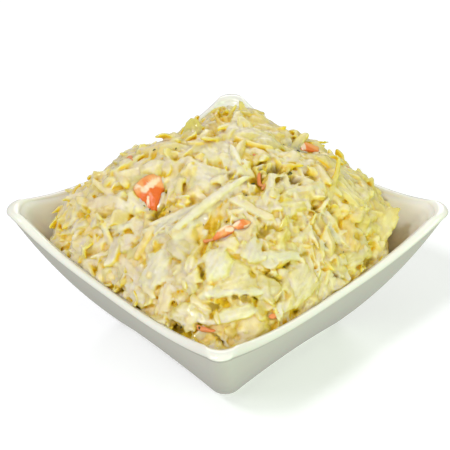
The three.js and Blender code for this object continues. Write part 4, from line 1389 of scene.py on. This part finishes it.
pockets = {  # pixel of the photo, half length and half width in pixels, slant in degrees, depth in mm; each pocket is sunk and painted with shade
    "behindShoulder": (175, 158, 4.2, 2.2, -10, 3), "besideCupLeaf": (193, 155, 3.4, 1.2, 60, 2.5),
    "underLoop": (179, 170, 2.4, 1.2, 90, 2), "diamond": (231, 176, 6, 3.2, -65, 4),
    "belowDiamond": (226, 200, 3.2, 1.8, -50, 3), "behindCrest": (213, 134, 6, 3.2, -35, 1.8),
    "hoodSlit": (241, 163, 3.2, 1.1, -8, 3), "hollowRoof": (275, 168, 15, 4.6, 4, 6),
    "hollowLeft": (262, 176, 6, 4, 75, 4), "hollowRight": (295, 179, 9, 4, 35, 5.5),
    "underTuft": (311, 175, 9, 3, 28, 4), "underRib": (246, 193, 5, 1.8, 22, 4),
    "belowRib": (258, 191, 8, 4.2, -25, 3.2), "besideArch": (281, 198, 5, 2.6, -80, 3),
    "thinOlive": (252, 214, 6, 1.4, 28, 2.6), "amber": (216, 226, 5, 3.2, -70, 3),
    "smallOlive": (233, 221, 3, 1.8, 0, 2.6), "oliveHollow": (264, 232, 8, 6, -30, 4),
    "oliveArm": (275, 228, 7, 3.4, 20, 3.4), "oliveTail": (274, 242, 4.6, 1.3, 22, 2.6),
    "rightOlive": (295, 217, 5, 3.4, 0, 3), "brownNick": (198, 242, 3.2, 1.4, 55, 3),
    "clearNick": (195, 258, 2.6, 1, 40, 2.4), "goldenGap": (201, 272, 9, 3.4, 66, 3.4),
    "underRidges": (156, 246, 8, 4.6, -60, 2.6), "oliveDot": (173, 297, 1.8, 1.4, 0, 2.2),
    "oliveGap": (176, 305, 3, 1.8, 90, 2.6), "darkDot": (167, 313, 2.2, 1.4, 0, 3),
    "rimGap": (174, 326, 15, 4, 38, 4.2), "frontGap": (212, 306, 8, 5, 22, 4.2),
    "frontTail": (212, 315, 5, 2.4, -60, 3), "frontDark": (217, 338, 7, 2.4, 48, 4.4),
    "frontGold": (211, 331, 4, 2.2, 50, 2.6), "longGap": (244, 299, 12, 3.8, 6, 4),
    "longGapDark": (254, 298, 5, 1.4, 25, 4.4), "brownSlit": (277, 302, 4.6, 1.2, -35, 3.2),
    "oliveSlit": (266, 314, 4, 1.8, -25, 3), "rimSlit": (297, 312, 4, 1.6, -22, 4),
    "leafGap": (253, 274, 4.6, 3, 60, 3.2), "groove": (271, 276, 14, 1.7, 27, 4.2),
    "grooveGold": (281, 267, 10, 3.2, -24, 2.4), "grooveEnd": (285, 290, 4, 1.3, 60, 3.2),
    "tuftOlive": (314, 165, 4.4, 2.6, -8, 3), "darkWedge": (318, 210, 7, 2.6, 28, 4.2),
    "darkWedgeTip": (313, 204, 4, 1.6, 75, 3), "goldWedge": (332, 211, 5.2, 3.2, 62, 3.8),
    "slantGroove": (317, 231, 17, 1.8, 56, 3), "slantGrooveEnd": (327, 245, 2.6, 1.6, 40, 4),
    "smallDark": (301, 229, 2.2, 1.5, 60, 2.8), "thinGroove": (315, 243, 5, 1.1, 52, 3),
    "chunkOlive": (305, 254, 4.6, 2.4, -10, 3.4), "pointGap": (300, 262, 2.8, 1.2, 40, 3),
    "paleOlive": (337, 229, 5, 2.6, 60, 2.2), "dotOlive": (353, 221, 2.2, 1.3, 25, 2.6),
    "triangle": (360, 236, 6.4, 3.4, 38, 3.2), "lowGold": (347, 266, 4.6, 1.4, 30, 2.6),
    "dotLow": (318, 272, 1.6, 1.4, 0, 2.6), "dotLowTwo": (324, 270, 2.4, 0.9, 30, 2.4),
    "rimBrown": (340, 277, 6.4, 1.8, 26, 4.6), "orangeGap": (374, 243, 4, 2.4, -10, 3),
    "cornerGap": (369, 262, 9, 4, -38, 4.4), "leftOlive": (126, 198, 4.6, 1.2, -80, 3.6),
    "besideLoop": (164, 174, 4.6, 2.2, 55, 2.8), "rightOfCarrot": (163, 189, 5, 1.6, -62, 4),
    "underCarrot": (158, 211, 12, 4, -56, 4.6), "underCarrotRight": (170, 204, 9, 3.4, -28, 3.4),
    "leftGold": (86, 209, 5, 2.6, 40, 2.8), "leftDark": (83, 216, 2.6, 1.2, -70, 3.2),
    "leftThin": (100, 221, 5, 1.4, 15, 2), "leftNarrow": (80, 233, 4.8, 1.6, -42, 3),
    "whiteGap": (117, 235, 4.6, 1.4, 0, 2.8), "speckGap": (132, 233, 2.6, 1.3, 60, 2.4),
    "goldTriangle": (134, 244, 5, 3, -30, 3.4), "squareGap": (97, 268, 3.2, 2.6, 70, 3.6),
    "softGold": (144, 263, 5.4, 2.8, 80, 2.4), "shortSlit": (124, 277, 4.2, 1.3, -55, 2.6),
    "cornerDark": (119, 290, 5.4, 2.8, 25, 4.2), "lumpShade": (160, 286, 7, 1.6, -35, 2.4),
}
pocketLooks = {  # painted shade colours by depth in mm, uneven edges as strength, size in mm and seed, and sinking
    "shallow": "#E8C41C", "deep": "#AA880C", "shadedOver": (0.5, 2.6), "share": 0.9, "deepFrom": (2.4, 4.6),
    "edge": (0.6, 1.25), "uneven": ((0.3, 5.0, 51), (0.3, 2.2, 52)), "reach": 14,
    "sunkShare": 0.32, "extraFrom": 4, "extraShare": 0.8,
}
carrotBed = {"press": 0.3, "edge": (0.95, 1.35), "height": 9, "reach": 16}  # the slaw stays under the carrot


paleStreaks = {  # strips that stay pale in the photo, with their half width in pixels
    "colour": "#F4EED2", "brightness": 0.86, "share": 0.7, "edge": (0.6, 1.2), "reach": 24,
    "strips": {
        "longGreen": 3.4, "whiteStrip": 2.4, "ridgeOne": 2.6, "crossing": 2.6, "whiteBar": 2.8,
        "lowStrip": 2.8, "standingOne": 2.8, "standingTwo": 2.2, "leftUpright": 2.0, "slantOne": 2.2,
        "slantThree": 2.4, "arc": 2.4,
    },
    "lines": [((209, 208), (158, 236), 2.6), ((254, 256), (300, 256), 4.0)],
}


def fromLine(u, v, start, end):  # how far places in the photo lie from a line, in pixels
    run = np.subtract(end, start)
    t = np.clip(((u - start[0]) * run[0] + (v - start[1]) * run[1]) / (run @ run), 0, 1)
    return np.hypot(u - start[0] - t * run[0], v - start[1] - t * run[1])


def nearSpot(points, pixel, reach):  # keeps what a pixel of the photo sets to its own side of the heap
    x, y = onHeap(pixel)
    return np.linalg.norm(points - np.array([x, y, moundHeight(x, y)]), axis=1) < reach


def paintStreaks(points, tint):
    u, v = pixelOf(points)
    streak = np.zeros(len(points))
    strips = [(*placedStrips[name][:2], wide) for name, wide in paleStreaks["strips"].items()]
    for start, end, wide in strips + paleStreaks["lines"]:
        near = nearSpot(points, np.mean([start, end], axis=0), paleStreaks["reach"])
        away = fromLine(u, v, start, end) / wide
        streak = np.maximum(streak, near * (1 - smoothStep(*paleStreaks["edge"], away)))
    colour = linearColour(paleStreaks["colour"]) * paleStreaks["brightness"]
    return mix(tint, colour, paleStreaks["share"] * streak[:, None])


def pressUnderCarrots(points, u, v):
    under = np.zeros(len(points))
    for name, known in carrotOutlines.items():
        middle, _, _, up = carrotSeat(name)
        centre = np.mean(known["outline"], axis=0)
        flat = np.array(known["outline"]) - centre
        size, axes = np.linalg.svd(flat, full_matrices=False)[1:]
        size = size * math.sqrt(2 / len(flat))
        away = np.hypot(*(((np.column_stack([u, v]) - centre) @ axes.T) / size).T)
        height = (points - middle) @ up
        near = np.linalg.norm(points - middle, axis=1) < carrotBed["reach"]
        near = (np.abs(height) < carrotBed["height"]) & near
        inside = 1 - smoothStep(*carrotBed["edge"], away)
        under = np.maximum(under, near * np.maximum(height + carrotBed["press"], 0) * inside)
    return points - outwards(points) * under[:, None]


def sinkAndShadePockets(points, tint):
    # sinks the pockets and paints their shade: golden, and olive where they are deepest
    looks = pocketLooks
    u, v = pixelOf(points)
    drop = np.zeros(len(points))
    uneven = sum(share * patches(points, size, seed) for share, size, seed in looks["uneven"])
    for pocketU, pocketV, long, short, slant, depth in pockets.values():
        near = nearSpot(points, (pocketU, pocketV), looks["reach"])
        c, s = math.cos(math.radians(slant)), math.sin(math.radians(slant))
        a = ((u - pocketU) * c + (v - pocketV) * s) / long
        b = ((v - pocketV) * c - (u - pocketU) * s) / short
        drop = np.maximum(drop, near * depth * (1 - smoothStep(*looks["edge"], np.hypot(a, b) + uneven)))
    points = pressUnderCarrots(points, u, v)
    pocketShade = mix(linearColour(looks["shallow"]), linearColour(looks["deep"]),
                smoothStep(*looks["deepFrom"], drop)[:, None])
    tint = mix(tint, pocketShade, looks["share"] * smoothStep(*looks["shadedOver"], drop)[:, None])
    sunk = looks["sunkShare"] * drop + looks["extraShare"] * np.maximum(drop - looks["extraFrom"], 0)
    return points - outwards(points) * sunk[:, None], tint


dressing = {  # patches as size in mm, seed and weight, where bare cabbage is a little deeper than coated
    "cream": "#FBF1D2", "bare": (0.97, 0.98, 0.68), "cover": 0.35, "uncover": 0.5, "edge": (0.0, 0.55),
    "patches": ((11, 31, 0.5), (5, 32, 0.5), (2.4, 33, 0.4)),
    "lumps": ((3.6, 34, 1.0), (2.1, 35, 0.5)), "relief": 0.14,
}


def dressSurface(points, normals, tint):
    # dressing lies in blended patches over the cabbage, and its surface is lumpy
    thickness, lumps = (
        sum(weight * patches(points, size, seed) for size, seed, weight in dressing[part])
        for part in ("patches", "lumps")
    )
    covered = dressing["cover"] * smoothStep(*dressing["edge"], thickness)[:, None]
    uncovered = dressing["uncover"] * smoothStep(*dressing["edge"], -thickness)[:, None]
    tint = mix(tint, linearColour(dressing["cream"]), covered)
    tint = mix(tint, tint * np.array(dressing["bare"]), uncovered)
    return points + normals * (dressing["relief"] * lumps)[:, None], tint


creamShape = {
    "colour": "#F2DC9C", "grain": 0.5, "cells": 310, "reach": 1.3, "below": 0.5, "blur": 2, "foot": 8.0,
    "lump": 0.25, "lumpSizes": (3.2, 1.9), "fineShare": 0.6, "pool": 0.8, "poolSize": 17.0,
    "poolEdge": (0.1, 0.7),
}


def makeCore(shell):
    # dressing and fine cabbage that fill the gaps between the pieces, just below them
    plan = creamShape
    cells = plan["cells"]
    axis = np.linspace(-1, 1, cells)
    u, v = np.meshgrid(axis, axis)
    a = u * np.sqrt(1 - v * v / 2) * plan["reach"]
    b = v * np.sqrt(1 - u * u / 2) * plan["reach"]
    squared = a * a + b * b
    shrink = np.sqrt(1 - squared / 4)
    direction = np.stack([a * shrink, b * shrink, 1 - squared / 2], -1)
    soft = boxBlur(boxBlur(shell["pile"], plan["blur"]), 1)
    column = (a + shellShape["half"]) / (2 * shellShape["half"]) * shellShape["cells"]
    row = (b + shellShape["half"]) / (2 * shellShape["half"]) * shellShape["cells"]
    height = soft[np.rint(row).astype(int), np.rint(column).astype(int)] - plan["below"]
    points = (shellShape["centre"] + direction * height[..., None]).reshape(-1, 3)
    pools = smoothStep(*plan["poolEdge"], patches(points, plan["poolSize"], 23))
    pools = pools * plan["pool"]
    coarse, fine = (patches(points, size, seed) for size, seed in zip(plan["lumpSizes"], (21, 22)))
    lumps = plan["lump"] * (coarse + plan["fineShare"] * fine)
    points = points + direction.reshape(-1, 3) * (lumps + pools)[:, None]
    index = np.arange(cells * cells).reshape(cells, cells)
    quads = np.stack([index[:-1, :-1], index[:-1, 1:], index[1:, 1:], index[1:, :-1]], -1).reshape(-1, 4)
    border = np.concatenate([index[0, :-1], index[:-1, -1], index[-1, :0:-1], index[:0:-1, 0]])
    after = np.roll(border, -1)
    foot = len(points)
    points = np.concatenate([points, [[0, 0, plan["foot"]]]])
    triangles = np.column_stack([np.full(len(border), foot), after, border])
    return points, quads, triangles


# the bed: core and filling pieces, grown together into one skin by the dressing

bedShape = {  # intoGlaze: how far the slaw presses past the bowl's inside, so that no slit shows there
    "voxel": 0.38, "softening": 2, "softness": 0.5, "triangles": 195000, "intoGlaze": 0.3,
    "skinIntoGlaze": 0.5,
}


def carryOver(source, titles):
    # node group that gives a mesh the named attributes of the nearest place on the source
    tree = bpy.data.node_groups.new("carryOver", "GeometryNodeTree")
    for direction in ("INPUT", "OUTPUT"):
        tree.interface.new_socket("Geometry", in_out=direction, socket_type="NodeSocketGeometry")
    geometry = addNode(tree, "NodeGroupInput").outputs[0]
    origin = addNode(tree, "GeometryNodeObjectInfo", {"Object": source}).outputs["Geometry"]
    for title, kind in titles.items():
        value = addNode(tree, "GeometryNodeInputNamedAttribute", {"data_type": kind, "Name": title})
        near = addNode(
            tree, "GeometryNodeSampleNearestSurface", {"data_type": kind},
            {"Mesh": origin, "Value": value.outputs[0]},
        )
        store = addNode(
            tree, "GeometryNodeStoreNamedAttribute", {"data_type": kind, "domain": "POINT", "Name": title},
            {"Geometry": geometry, "Value": near.outputs[0]},
        )
        geometry = store.outputs[0]
    addNode(tree, "NodeGroupOutput", links={0: geometry})
    return tree


def appliedMesh(piece, name):
    graph = bpy.context.evaluated_depsgraph_get()
    mesh = bpy.data.meshes.new_from_object(piece.evaluated_get(graph))
    mesh.name = name
    return mesh


def growTogether(source, name):
    skin = addObject(name, source.data)
    remesh = skin.modifiers.new("skin", "REMESH")
    remesh.mode = "VOXEL"
    remesh.voxel_size = bedShape["voxel"] * mm
    remesh.use_smooth_shade = True
    soften = skin.modifiers.new("soften", "SMOOTH")
    soften.factor = bedShape["softness"]
    soften.iterations = bedShape["softening"]
    skin.data = appliedMesh(skin, name)
    skin.modifiers.clear()
    faces = 2 * len(skin.data.polygons)
    thinner = skin.modifiers.new("thinner", "DECIMATE")
    thinner.ratio = min(1, bedShape["triangles"] / faces)
    carry = skin.modifiers.new("carry", "NODES")
    carry.node_group = carryOver(source, {"tint": "FLOAT_COLOR", "grain": "FLOAT_VECTOR"})
    skin.data = appliedMesh(skin, name)
    skin.modifiers.clear()
    print(name, faces, "triangles, then", len(skin.data.polygons))
    return skin


def makeBed(shell, batches, reach, food):
    core, quads, triangles = makeCore(shell)
    tint = np.broadcast_to(linearColour(creamShape["colour"]), core.shape)
    whole = newBatch()
    addToBatch(whole, core, quads, triangles, core * creamShape["grain"], tint)
    for batch in batches.values():
        if batch["points"]:
            addToBatch(whole, **joined(batch))
    source = batchMesh(whole, reach, -bedShape["intoGlaze"], "pieces", food)
    bed = growTogether(source, "slaw_bed")
    bpy.data.objects.remove(source)
    count = len(bed.data.vertices)
    place, normals, colours = np.empty(3 * count), np.empty(3 * count), np.empty(4 * count)
    bed.data.vertices.foreach_get("co", place)
    bed.data.vertices.foreach_get("normal", normals)
    bed.data.attributes["tint"].data.foreach_get("color", colours)
    colours = colours.reshape(-1, 4)
    place, normals = place.reshape(-1, 3) / mm, normals.reshape(-1, 3)
    bend = hollows(bed.data, place, normals)
    steep = 1 - (normals * outwards(place)).sum(1)
    place, tint = dressSurface(place, normals, colours[:, :3])
    place = keepInBowl(place, reach, -bedShape["skinIntoGlaze"])
    # painted light and shade: sides by how they face the light, gaps, hollows and steep sides golden, the
    # deepest gaps olive
    tint = paintCreviceShade(shadeSides(tint, normals), crevices(shell, place), bend, steep)
    tint = paintStreaks(place, tint)
    # painted shade: the dark hollows are sunk and painted golden to olive
    place, colours[:, :3] = sinkAndShadePockets(place, tint)
    bed.data.vertices.foreach_set("co", (place * mm).ravel())
    bed.data.attributes["tint"].data.foreach_set("color", np.clip(colours, 0, 1).ravel())
    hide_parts("slaw_heap")
    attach(bed, "root")


def makeSlaw():
    rng = np.random.default_rng(11)
    directions, free = shellDirections()
    goal = moundDistance(directions)
    places = shellShape["centre"] + directions * goal[..., None]
    share = planShare(places[..., 0], places[..., 1])
    drop = pocketDrop(places, rng)
    shell = {
        "directions": directions, "mound": goal, "free": free & (share < shellShape["edge"]),
        "goal": goal + shellShape["proud"] - drop,
        "pile": goal - shellShape["coreDepth"] - pocketPlan["coreShare"] * drop,
    }
    reach = wallReach()
    batches = {kind: newBatch() for kind in kinds}
    fillHeap(shell, batches, rng)
    seededChips(shell, batches, rng)
    seededShreds(shell, batches, rng)
    placedLeaves(shell, batches, rng)
    layPlacedStrips(shell, batches, rng)
    batches["crumbs"] = makeCrumbs(shell, rng)
    makeBed(shell, batches, reach, dressedFood("creamedCabbage"))
    finishBatch(makeSpecks(shell, rng), reach, "herb_specks", dryHerb())
    return shell, reach


def cutSolid(faces, rows, columns, sharpness):
    # a block cut by flat faces, each a direction and how far out it lies, its edges slightly rounded
    polar = np.linspace(0, math.pi, rows + 2)[1:-1]
    around = np.arange(columns) * 2 * math.pi / columns
    p, a = np.meshgrid(polar, around, indexing="ij")
    directions = np.stack([np.sin(p) * np.cos(a), np.sin(p) * np.sin(a), np.cos(p)], -1).reshape(-1, 3)
    directions = np.concatenate([directions, [[0, 0, 1], [0, 0, -1]]])
    normals = unit(np.array([face[:3] for face in faces], float))
    far = np.array([face[3] for face in faces], float)
    nearness = np.maximum(directions @ normals.T, 0) / far
    shape = directions * ((nearness ** sharpness).sum(1) ** (-1 / sharpness))[:, None]
    total = rows * columns
    quads = ringQuads(range(0, total, columns), columns, turned=True)
    caps = [fan(total, 0, columns, turned=True), fan(total + 1, total - columns, columns)]
    return shape, quads, np.concatenate(caps)


def patches(points, reach, seed):
    # soft random patches between -1 and 1, reach millimetres across
    rng = np.random.default_rng(seed)
    total = np.zeros(len(points))
    for _ in range(7):
        direction = unit(rng.normal(size=3))
        wave = reach * rng.uniform(0.7, 1.5)
        total = total + np.sin(points @ direction * 2 * math.pi / wave + rng.uniform(*anyAngle))
    return np.clip(total / 3.2, -1, 1)  # seven waves rarely add up to more


carrotLooks = {  # lengths in mm, patches as size in mm and seed
    "body": ("#E86E22", "#F8AE6C"),  # deep orange where it is bare, paler where it is thinly coated
    "cream": "#F8E9CE", "creamShare": 0.8, "creamThick": 0.25, "creamEdge": (0.6, 1.3),
    "creamTop": (-0.5, 0.3), "creamUneven": (0.3, 1.8, 80), "palerPatches": (5.0, 60),
    "palerRange": (-0.5, 0.8), "palerUp": 0.25,
    "rows": 40, "columns": 60, "sharpness": 16, "sideLean": 0.35, "below": 3.2, "wider": 1.07,
    "topFaces": ((0.25, 0.1), (-0.3, -0.2)), "uneven": (0.03, 2.6, 40), "grain": (0.2, 1.0, 1.0),
    "towardsCamera": 0.8,
}


def carrotSeat(name):
    # a plane through the carrot's middle that faces between the heap's slope and the camera, and its axes
    outline = carrotOutlines[name]["outline"]
    x, y = onHeap(np.mean(outline, axis=0))
    back, right, _ = (np.array(axis) for axis in viewAxes(cameraPlace["azimuth"], cameraPlace["elevation"]))
    up = unit(moundNormal(x, y) + carrotLooks["towardsCamera"] * back)
    along = unit(right - up * (right @ up))
    middle = np.array([x, y, moundHeight(x, y)]) + up * carrotOutlines[name]["lift"]
    return middle, along, np.cross(up, along), up


def carrotFaces(flat, rise):
    # a slightly ridged top, a flat underside, and a leaning side along each edge of the outline
    lean = carrotLooks["sideLean"]
    faces = [(*tilt, 1, rise) for tilt in carrotLooks["topFaces"]] + [(0, 0, -1, carrotLooks["below"])]
    for one, two in zip(flat, np.roll(flat, -1, axis=0)):
        edge = two - one
        outward = np.array([edge[1], -edge[0]]) / np.linalg.norm(edge)
        far = outward @ one
        if far < 0:
            outward, far = -outward, -far
        faces.append((*outward, lean, carrotLooks["wider"] * far / math.hypot(1, lean)))
    return faces


def carrotTint(points, shape, known, number):
    # orange, paler where the dressing is thin, with smears of cream; also how thick each smear lies
    looks = carrotLooks
    bare, coated = (linearColour(colour) for colour in looks["body"])
    size, seed = looks["palerPatches"]
    paler = patches(shape, size, seed + number) + looks["palerUp"] * shape[:, 1]
    paler = smoothStep(*looks["palerRange"], paler)
    tint = mix(bare, coated, np.minimum(paler + known["paler"], 1)[:, None])
    u, v = pixelOf(points)
    share, size, seed = looks["creamUneven"]
    uneven = share * patches(shape, size, seed + number)
    smear = np.zeros(len(points))
    for start, end, wide in known["cream"]:
        away = fromLine(u, v, start, end) / wide
        smear = np.maximum(smear, 1 - smoothStep(*looks["creamEdge"], away + uneven))
    smear = smear * smoothStep(*looks["creamTop"], shape[:, 2])
    cream = linearColour(looks["cream"])
    return mix(tint, cream, looks["creamShare"] * smear[:, None]), smear * looks["creamThick"]


def makeCarrots():
    material = dressedFood("dressedCarrot")
    share, size, seed = carrotLooks["uneven"]
    for number, (name, known) in enumerate(carrotOutlines.items()):
        middle, along, across, up = carrotSeat(name)
        corners = throughPlane(known["outline"], middle, up)
        centre = corners.mean(0)
        flat = np.column_stack([(corners - centre) @ along, (corners - centre) @ across])
        faces = carrotFaces(flat, known["rise"])
        fineness = (carrotLooks[part] for part in ("rows", "columns", "sharpness"))
        shape, quads, caps = cutSolid(faces, *fineness)
        shape = shape * (1 + share * patches(shape, size, seed + number))[:, None]
        points = centre + shape[:, :1] * along + shape[:, 1:2] * across + shape[:, 2:] * up
        tint, thick = carrotTint(points, shape, known, number)
        attributes = {"tint": tint, "grain": shape * np.array(carrotLooks["grain"])}
        piece = makeMesh(name + "_cut", points + up * thick[:, None], quads, caps, attributes, material)
        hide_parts(name)
        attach(piece, "root")
        print(name, len(points), "points")
    return material


carrotSlivers = {  # pixels of the photo at the two ends, width, thickness, bend
    "underHood": ((252, 156), (262, 160), 2.2, 1.4, 0.05),
    "hollowStem": ((257, 173), (262, 187), 1.8, 1.3, 0.1),
    "hollowFork": ((261, 187), (273, 181), 2.2, 1.3, -0.1),
    "skyline": ((128, 155), (138, 164), 3.0, 1.8, 0.0),
    "frontLeft": ((194, 326), (216, 329), 1.9, 1.4, 0.05),
    "frontRight": ((268, 316), (288, 307), 2.0, 1.4, 0.05),
    "inWhite": ((212, 275), (221, 267), 1.3, 0.9, 0.0),
    "besideMiddle": ((203, 241), (214, 238), 1.4, 1.0, 0.0),
}
farSlivers = [  # the same in plan millimetres, on the sides that the photo doesn't show
    ((-30, 34), (-36, 27), 2.2, 1.2, 0.1), ((-8, 47), (-3, 42), 1.8, 1.1, 0.0),
    ((-22, 46), (-27, 50), 2.4, 1.2, 0.0), ((26, 40), (31, 44), 1.8, 1.0, 0.0),
]
sliverShape = {
    **kinds["slivers"], "palette": "carrot", "ring": 10, "step": 0.6, "curl": 0.0, "sink": -0.2, "roll": 0.1,
    "twist": 0.1, "stiffness": 4, "tip": 0.4,
}


def addStrip(batch, shell, item, rng):
    line, side, up = layStrip(shell, item)
    points, quads, caps, grain, across, lengthwise = stripMesh(item, line, side, up, rng)
    addToBatch(batch, points, quads, caps, grain, pieceTint(item["palette"], across, lengthwise, rng))


def makeCarrotSlivers(shell, rng):
    batch = newBatch()
    seen = [(onHeap(start), onHeap(end), *rest) for start, end, *rest in carrotSlivers.values()]
    for start, end, width, thick, bend in seen + farSlivers:
        span = spanOf(start, end)
        item = makeItem("slivers", span["x"], span["y"], rng)
        item.update(sliverShape, width=width, thick=thick, sway=bend, **span)
        addStrip(batch, shell, item, rng)
    return batch


# small things on top: herb specks, one needle of dill, crumbs of cabbage in dressing

herbSpecks = {"count": 170, "size": (0.32, 0.7), "smallBias": 1.6, "long": (1, 2.2), "wide": (0.6, 1),
              "high": 0.45, "sink": -0.1}
dillNeedle = {"heading": math.atan2(3.4, -1.4), "length": 4.6, "width": 0.65, "thick": 0.5, "sink": -0.15,
              "curl": 0.3, "sway": 0.15, "ragged": 0.1, "palette": "herb", "step": 0.4}
dillPlace = (39.7, -34.6)
crumbs = {"clusters": 60, "each": 4, "scattered": 2.0, "size": (0.5, 1.1), "smallBias": 1.5,
          "long": (0.9, 2.0), "high": (0.3, 0.5), "sinkShare": 0.35, "sink": 0.15, "white": 0.6}
blobCut = {"faces": 10, "far": (0.7, 1.0), "sharpness": 7, "rows": 5, "columns": 8, "grain": 0.4}


def blobMesh(radius, stretch, rng):
    faces = [(*rng.normal(size=3), rng.uniform(*blobCut["far"])) for _ in range(blobCut["faces"])]
    faces += [(1, 0, 0, 1), (-1, 0, 0, 1), (0, 1, 0, 1), (0, -1, 0, 1), (0, 0, 1, 1), (0, 0, -1, 1)]
    shape, quads, caps = cutSolid(faces, blobCut["rows"], blobCut["columns"], blobCut["sharpness"])
    return shape * radius * np.array(stretch), quads, caps


def surfaceSpots(shell, count, rng):
    cells = rng.choice(np.flatnonzero(shell["free"]), count)
    direction = shell["directions"].reshape(-1, 3)[cells]
    return shellShape["centre"] + direction * shell["pile"].flat[cells][:, None], direction


def putBlob(batch, place, outward, heading, radius, stretch, sink, palette, rng):
    shape, quads, caps = blobMesh(radius, stretch, rng)
    along = np.array([math.cos(heading), math.sin(heading), 0.0])
    along = unit(along - outward * (along @ outward))
    across = np.cross(outward, along)
    middle = place + outward * (radius * stretch[2] - sink)
    points = middle + shape[:, :1] * along + shape[:, 1:2] * across + shape[:, 2:] * outward
    even = np.zeros(len(points))
    addToBatch(batch, points, quads, caps, points * blobCut["grain"], pieceTint(palette, even, even, rng))


def makeSpecks(shell, rng):
    batch = newBatch()
    for place, up in zip(*surfaceSpots(shell, herbSpecks["count"], rng)):
        radius = between(herbSpecks["size"], rng.random() ** herbSpecks["smallBias"])
        stretch = (rng.uniform(*herbSpecks["long"]), rng.uniform(*herbSpecks["wide"]), herbSpecks["high"])
        putBlob(batch, place, up, rng.uniform(*anyAngle), radius, stretch, herbSpecks["sink"], "herb", rng)
    addStrip(batch, shell, makeItem("slivers", *dillPlace, rng, **dillNeedle), rng)
    return batch


def makeCrumbs(shell, rng):
    plan = crumbs
    batch = newBatch()
    for centre in surfaceSpots(shell, plan["clusters"], rng)[0]:
        for _ in range(plan["each"]):
            spot = centre + rng.normal(0, plan["scattered"], 3)
            up = outwards(spot)
            place = shellShape["centre"] + up * pileAt(shell, spot[None])[0]
            radius = between(plan["size"], rng.random() ** plan["smallBias"])
            stretch = (rng.uniform(*plan["long"]), 1, rng.uniform(*plan["high"]))
            palette = "white" if rng.random() < plan["white"] else "pale"
            sink = plan["sinkShare"] * radius + plan["sink"]
            putBlob(batch, place, up, rng.uniform(*anyAngle), radius, stretch, sink, palette, rng)
    return batch


def finishBatch(batch, reach, name, material):
    piece = batchMesh(batch, reach, wallTable["air"], name, material)
    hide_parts("slaw_heap")
    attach(piece, "root")
    print(name, len(piece.data.polygons), "faces")


herbLooks = {"Roughness": 0.45, "IOR": 1.45, "Coat Weight": 0.2, "Coat Roughness": 0.2}


def dryHerb():
    # dried dill and pepper: dark, leathery, barely glossy flecks
    material, tree = newMaterial("dryHerb")
    tint = addNode(tree, "ShaderNodeAttribute", {"attribute_name": "tint"})
    surface = addNode(tree, "ShaderNodeBsdfPrincipled", herbLooks, {"Base Color": tint})
    finishMaterial(tree, surface)
    return material


# floor, light and camera

tableLooks = {  # a faint light of its own keeps the ground near white, as it is in the photo
    "Roughness": 0.9, "Specular IOR Level": 0.1, "Base Color": (0.88, 0.88, 0.94, 1),
    "Emission Color": (1, 1, 1, 1), "Emission Strength": 0.24,
}


def makeStage():
    # matt white table top: no gloss, only the bowl's soft shadow
    material, tree = newMaterial("whiteTable")
    finishMaterial(tree, addNode(tree, "ShaderNodeBsdfPrincipled", tableLooks))
    half = 3000  # mm, far past what the camera sees
    points = np.array([[-half, -half, 0], [half, -half, 0], [half, half, 0], [-half, half, 0]], float)
    floor = makeMesh("floor", points, [[0, 1, 2, 3]], [], {}, material)
    floor.visible_glossy = False
    floor.visible_diffuse = False  # the photo's white ground throws no light up on the bowl
    print("stage laid")


def makeCamera():
    eye, turn = cameraFrame()
    data = bpy.data.cameras.new("camera")
    data.lens = cameraPlace["lens"]
    data.sensor_width = cameraPlace["sensor"]
    data.clip_start, data.clip_end = 0.01, 20
    camera = addObject("camera", data)
    camera.matrix_world = Matrix.Translation(eye * mm) @ turn.to_4x4()
    bpy.context.scene.camera = camera
    print("camera at", tuple(round(value) for value in eye), "mm")


lights = {  # azimuth, elevation, distance and size in metres, power in watts, colour
    "key": (-8, 35, 2.5, 0.8, 12.0, "#F9FAFF"),
    "overhead": (47, 82, 2.5, 1.6, 4.0, "#FFFEFC"),
    "fill": (100, 18, 2.5, 1.5, 25.0, "#DAF4CE"),
    "front": (50, 10, 2.5, 1.2, 15.0, "#ECFCE0"),
    "behind": (215, 32, 2.5, 1.5, 16.0, "#FFFFFF"),
    "glint": (10, 55, 2.5, 0.35, 16.0, "#FFFFFF"),
}
worldLight = {"colour": "#FCFBF0", "strength": 0.4}


def makeLights():
    for name, (azimuth, elevation, distance, size, power, colour) in lights.items():
        back, right, up = viewAxes(azimuth, elevation)
        data = bpy.data.lights.new(name, "AREA")
        data.shape = "DISK"
        data.size = size
        data.energy = power
        data.color = tuple(linearColour(colour))
        turn = Matrix((right, up, back)).transposed().to_4x4()
        addObject(name, data).matrix_world = Matrix.Translation(back * distance) @ turn
    world = bpy.data.worlds.new("studio")
    world.use_nodes = True
    sky = world.node_tree.nodes["Background"]
    sky.inputs["Color"].default_value = rgba(worldLight["colour"])
    sky.inputs["Strength"].default_value = worldLight["strength"]
    bpy.context.scene.world = world
    print("lights", ", ".join(lights))


bpy.context.scene.view_settings.view_transform = "Standard"
makeBowl()
shell, reach = makeSlaw()
carrotFlesh = makeCarrots()
slivers = makeCarrotSlivers(shell, np.random.default_rng(3))
finishBatch(slivers, reach, "carrot_slivers", carrotFlesh)
makeStage()
makeLights()
makeCamera()
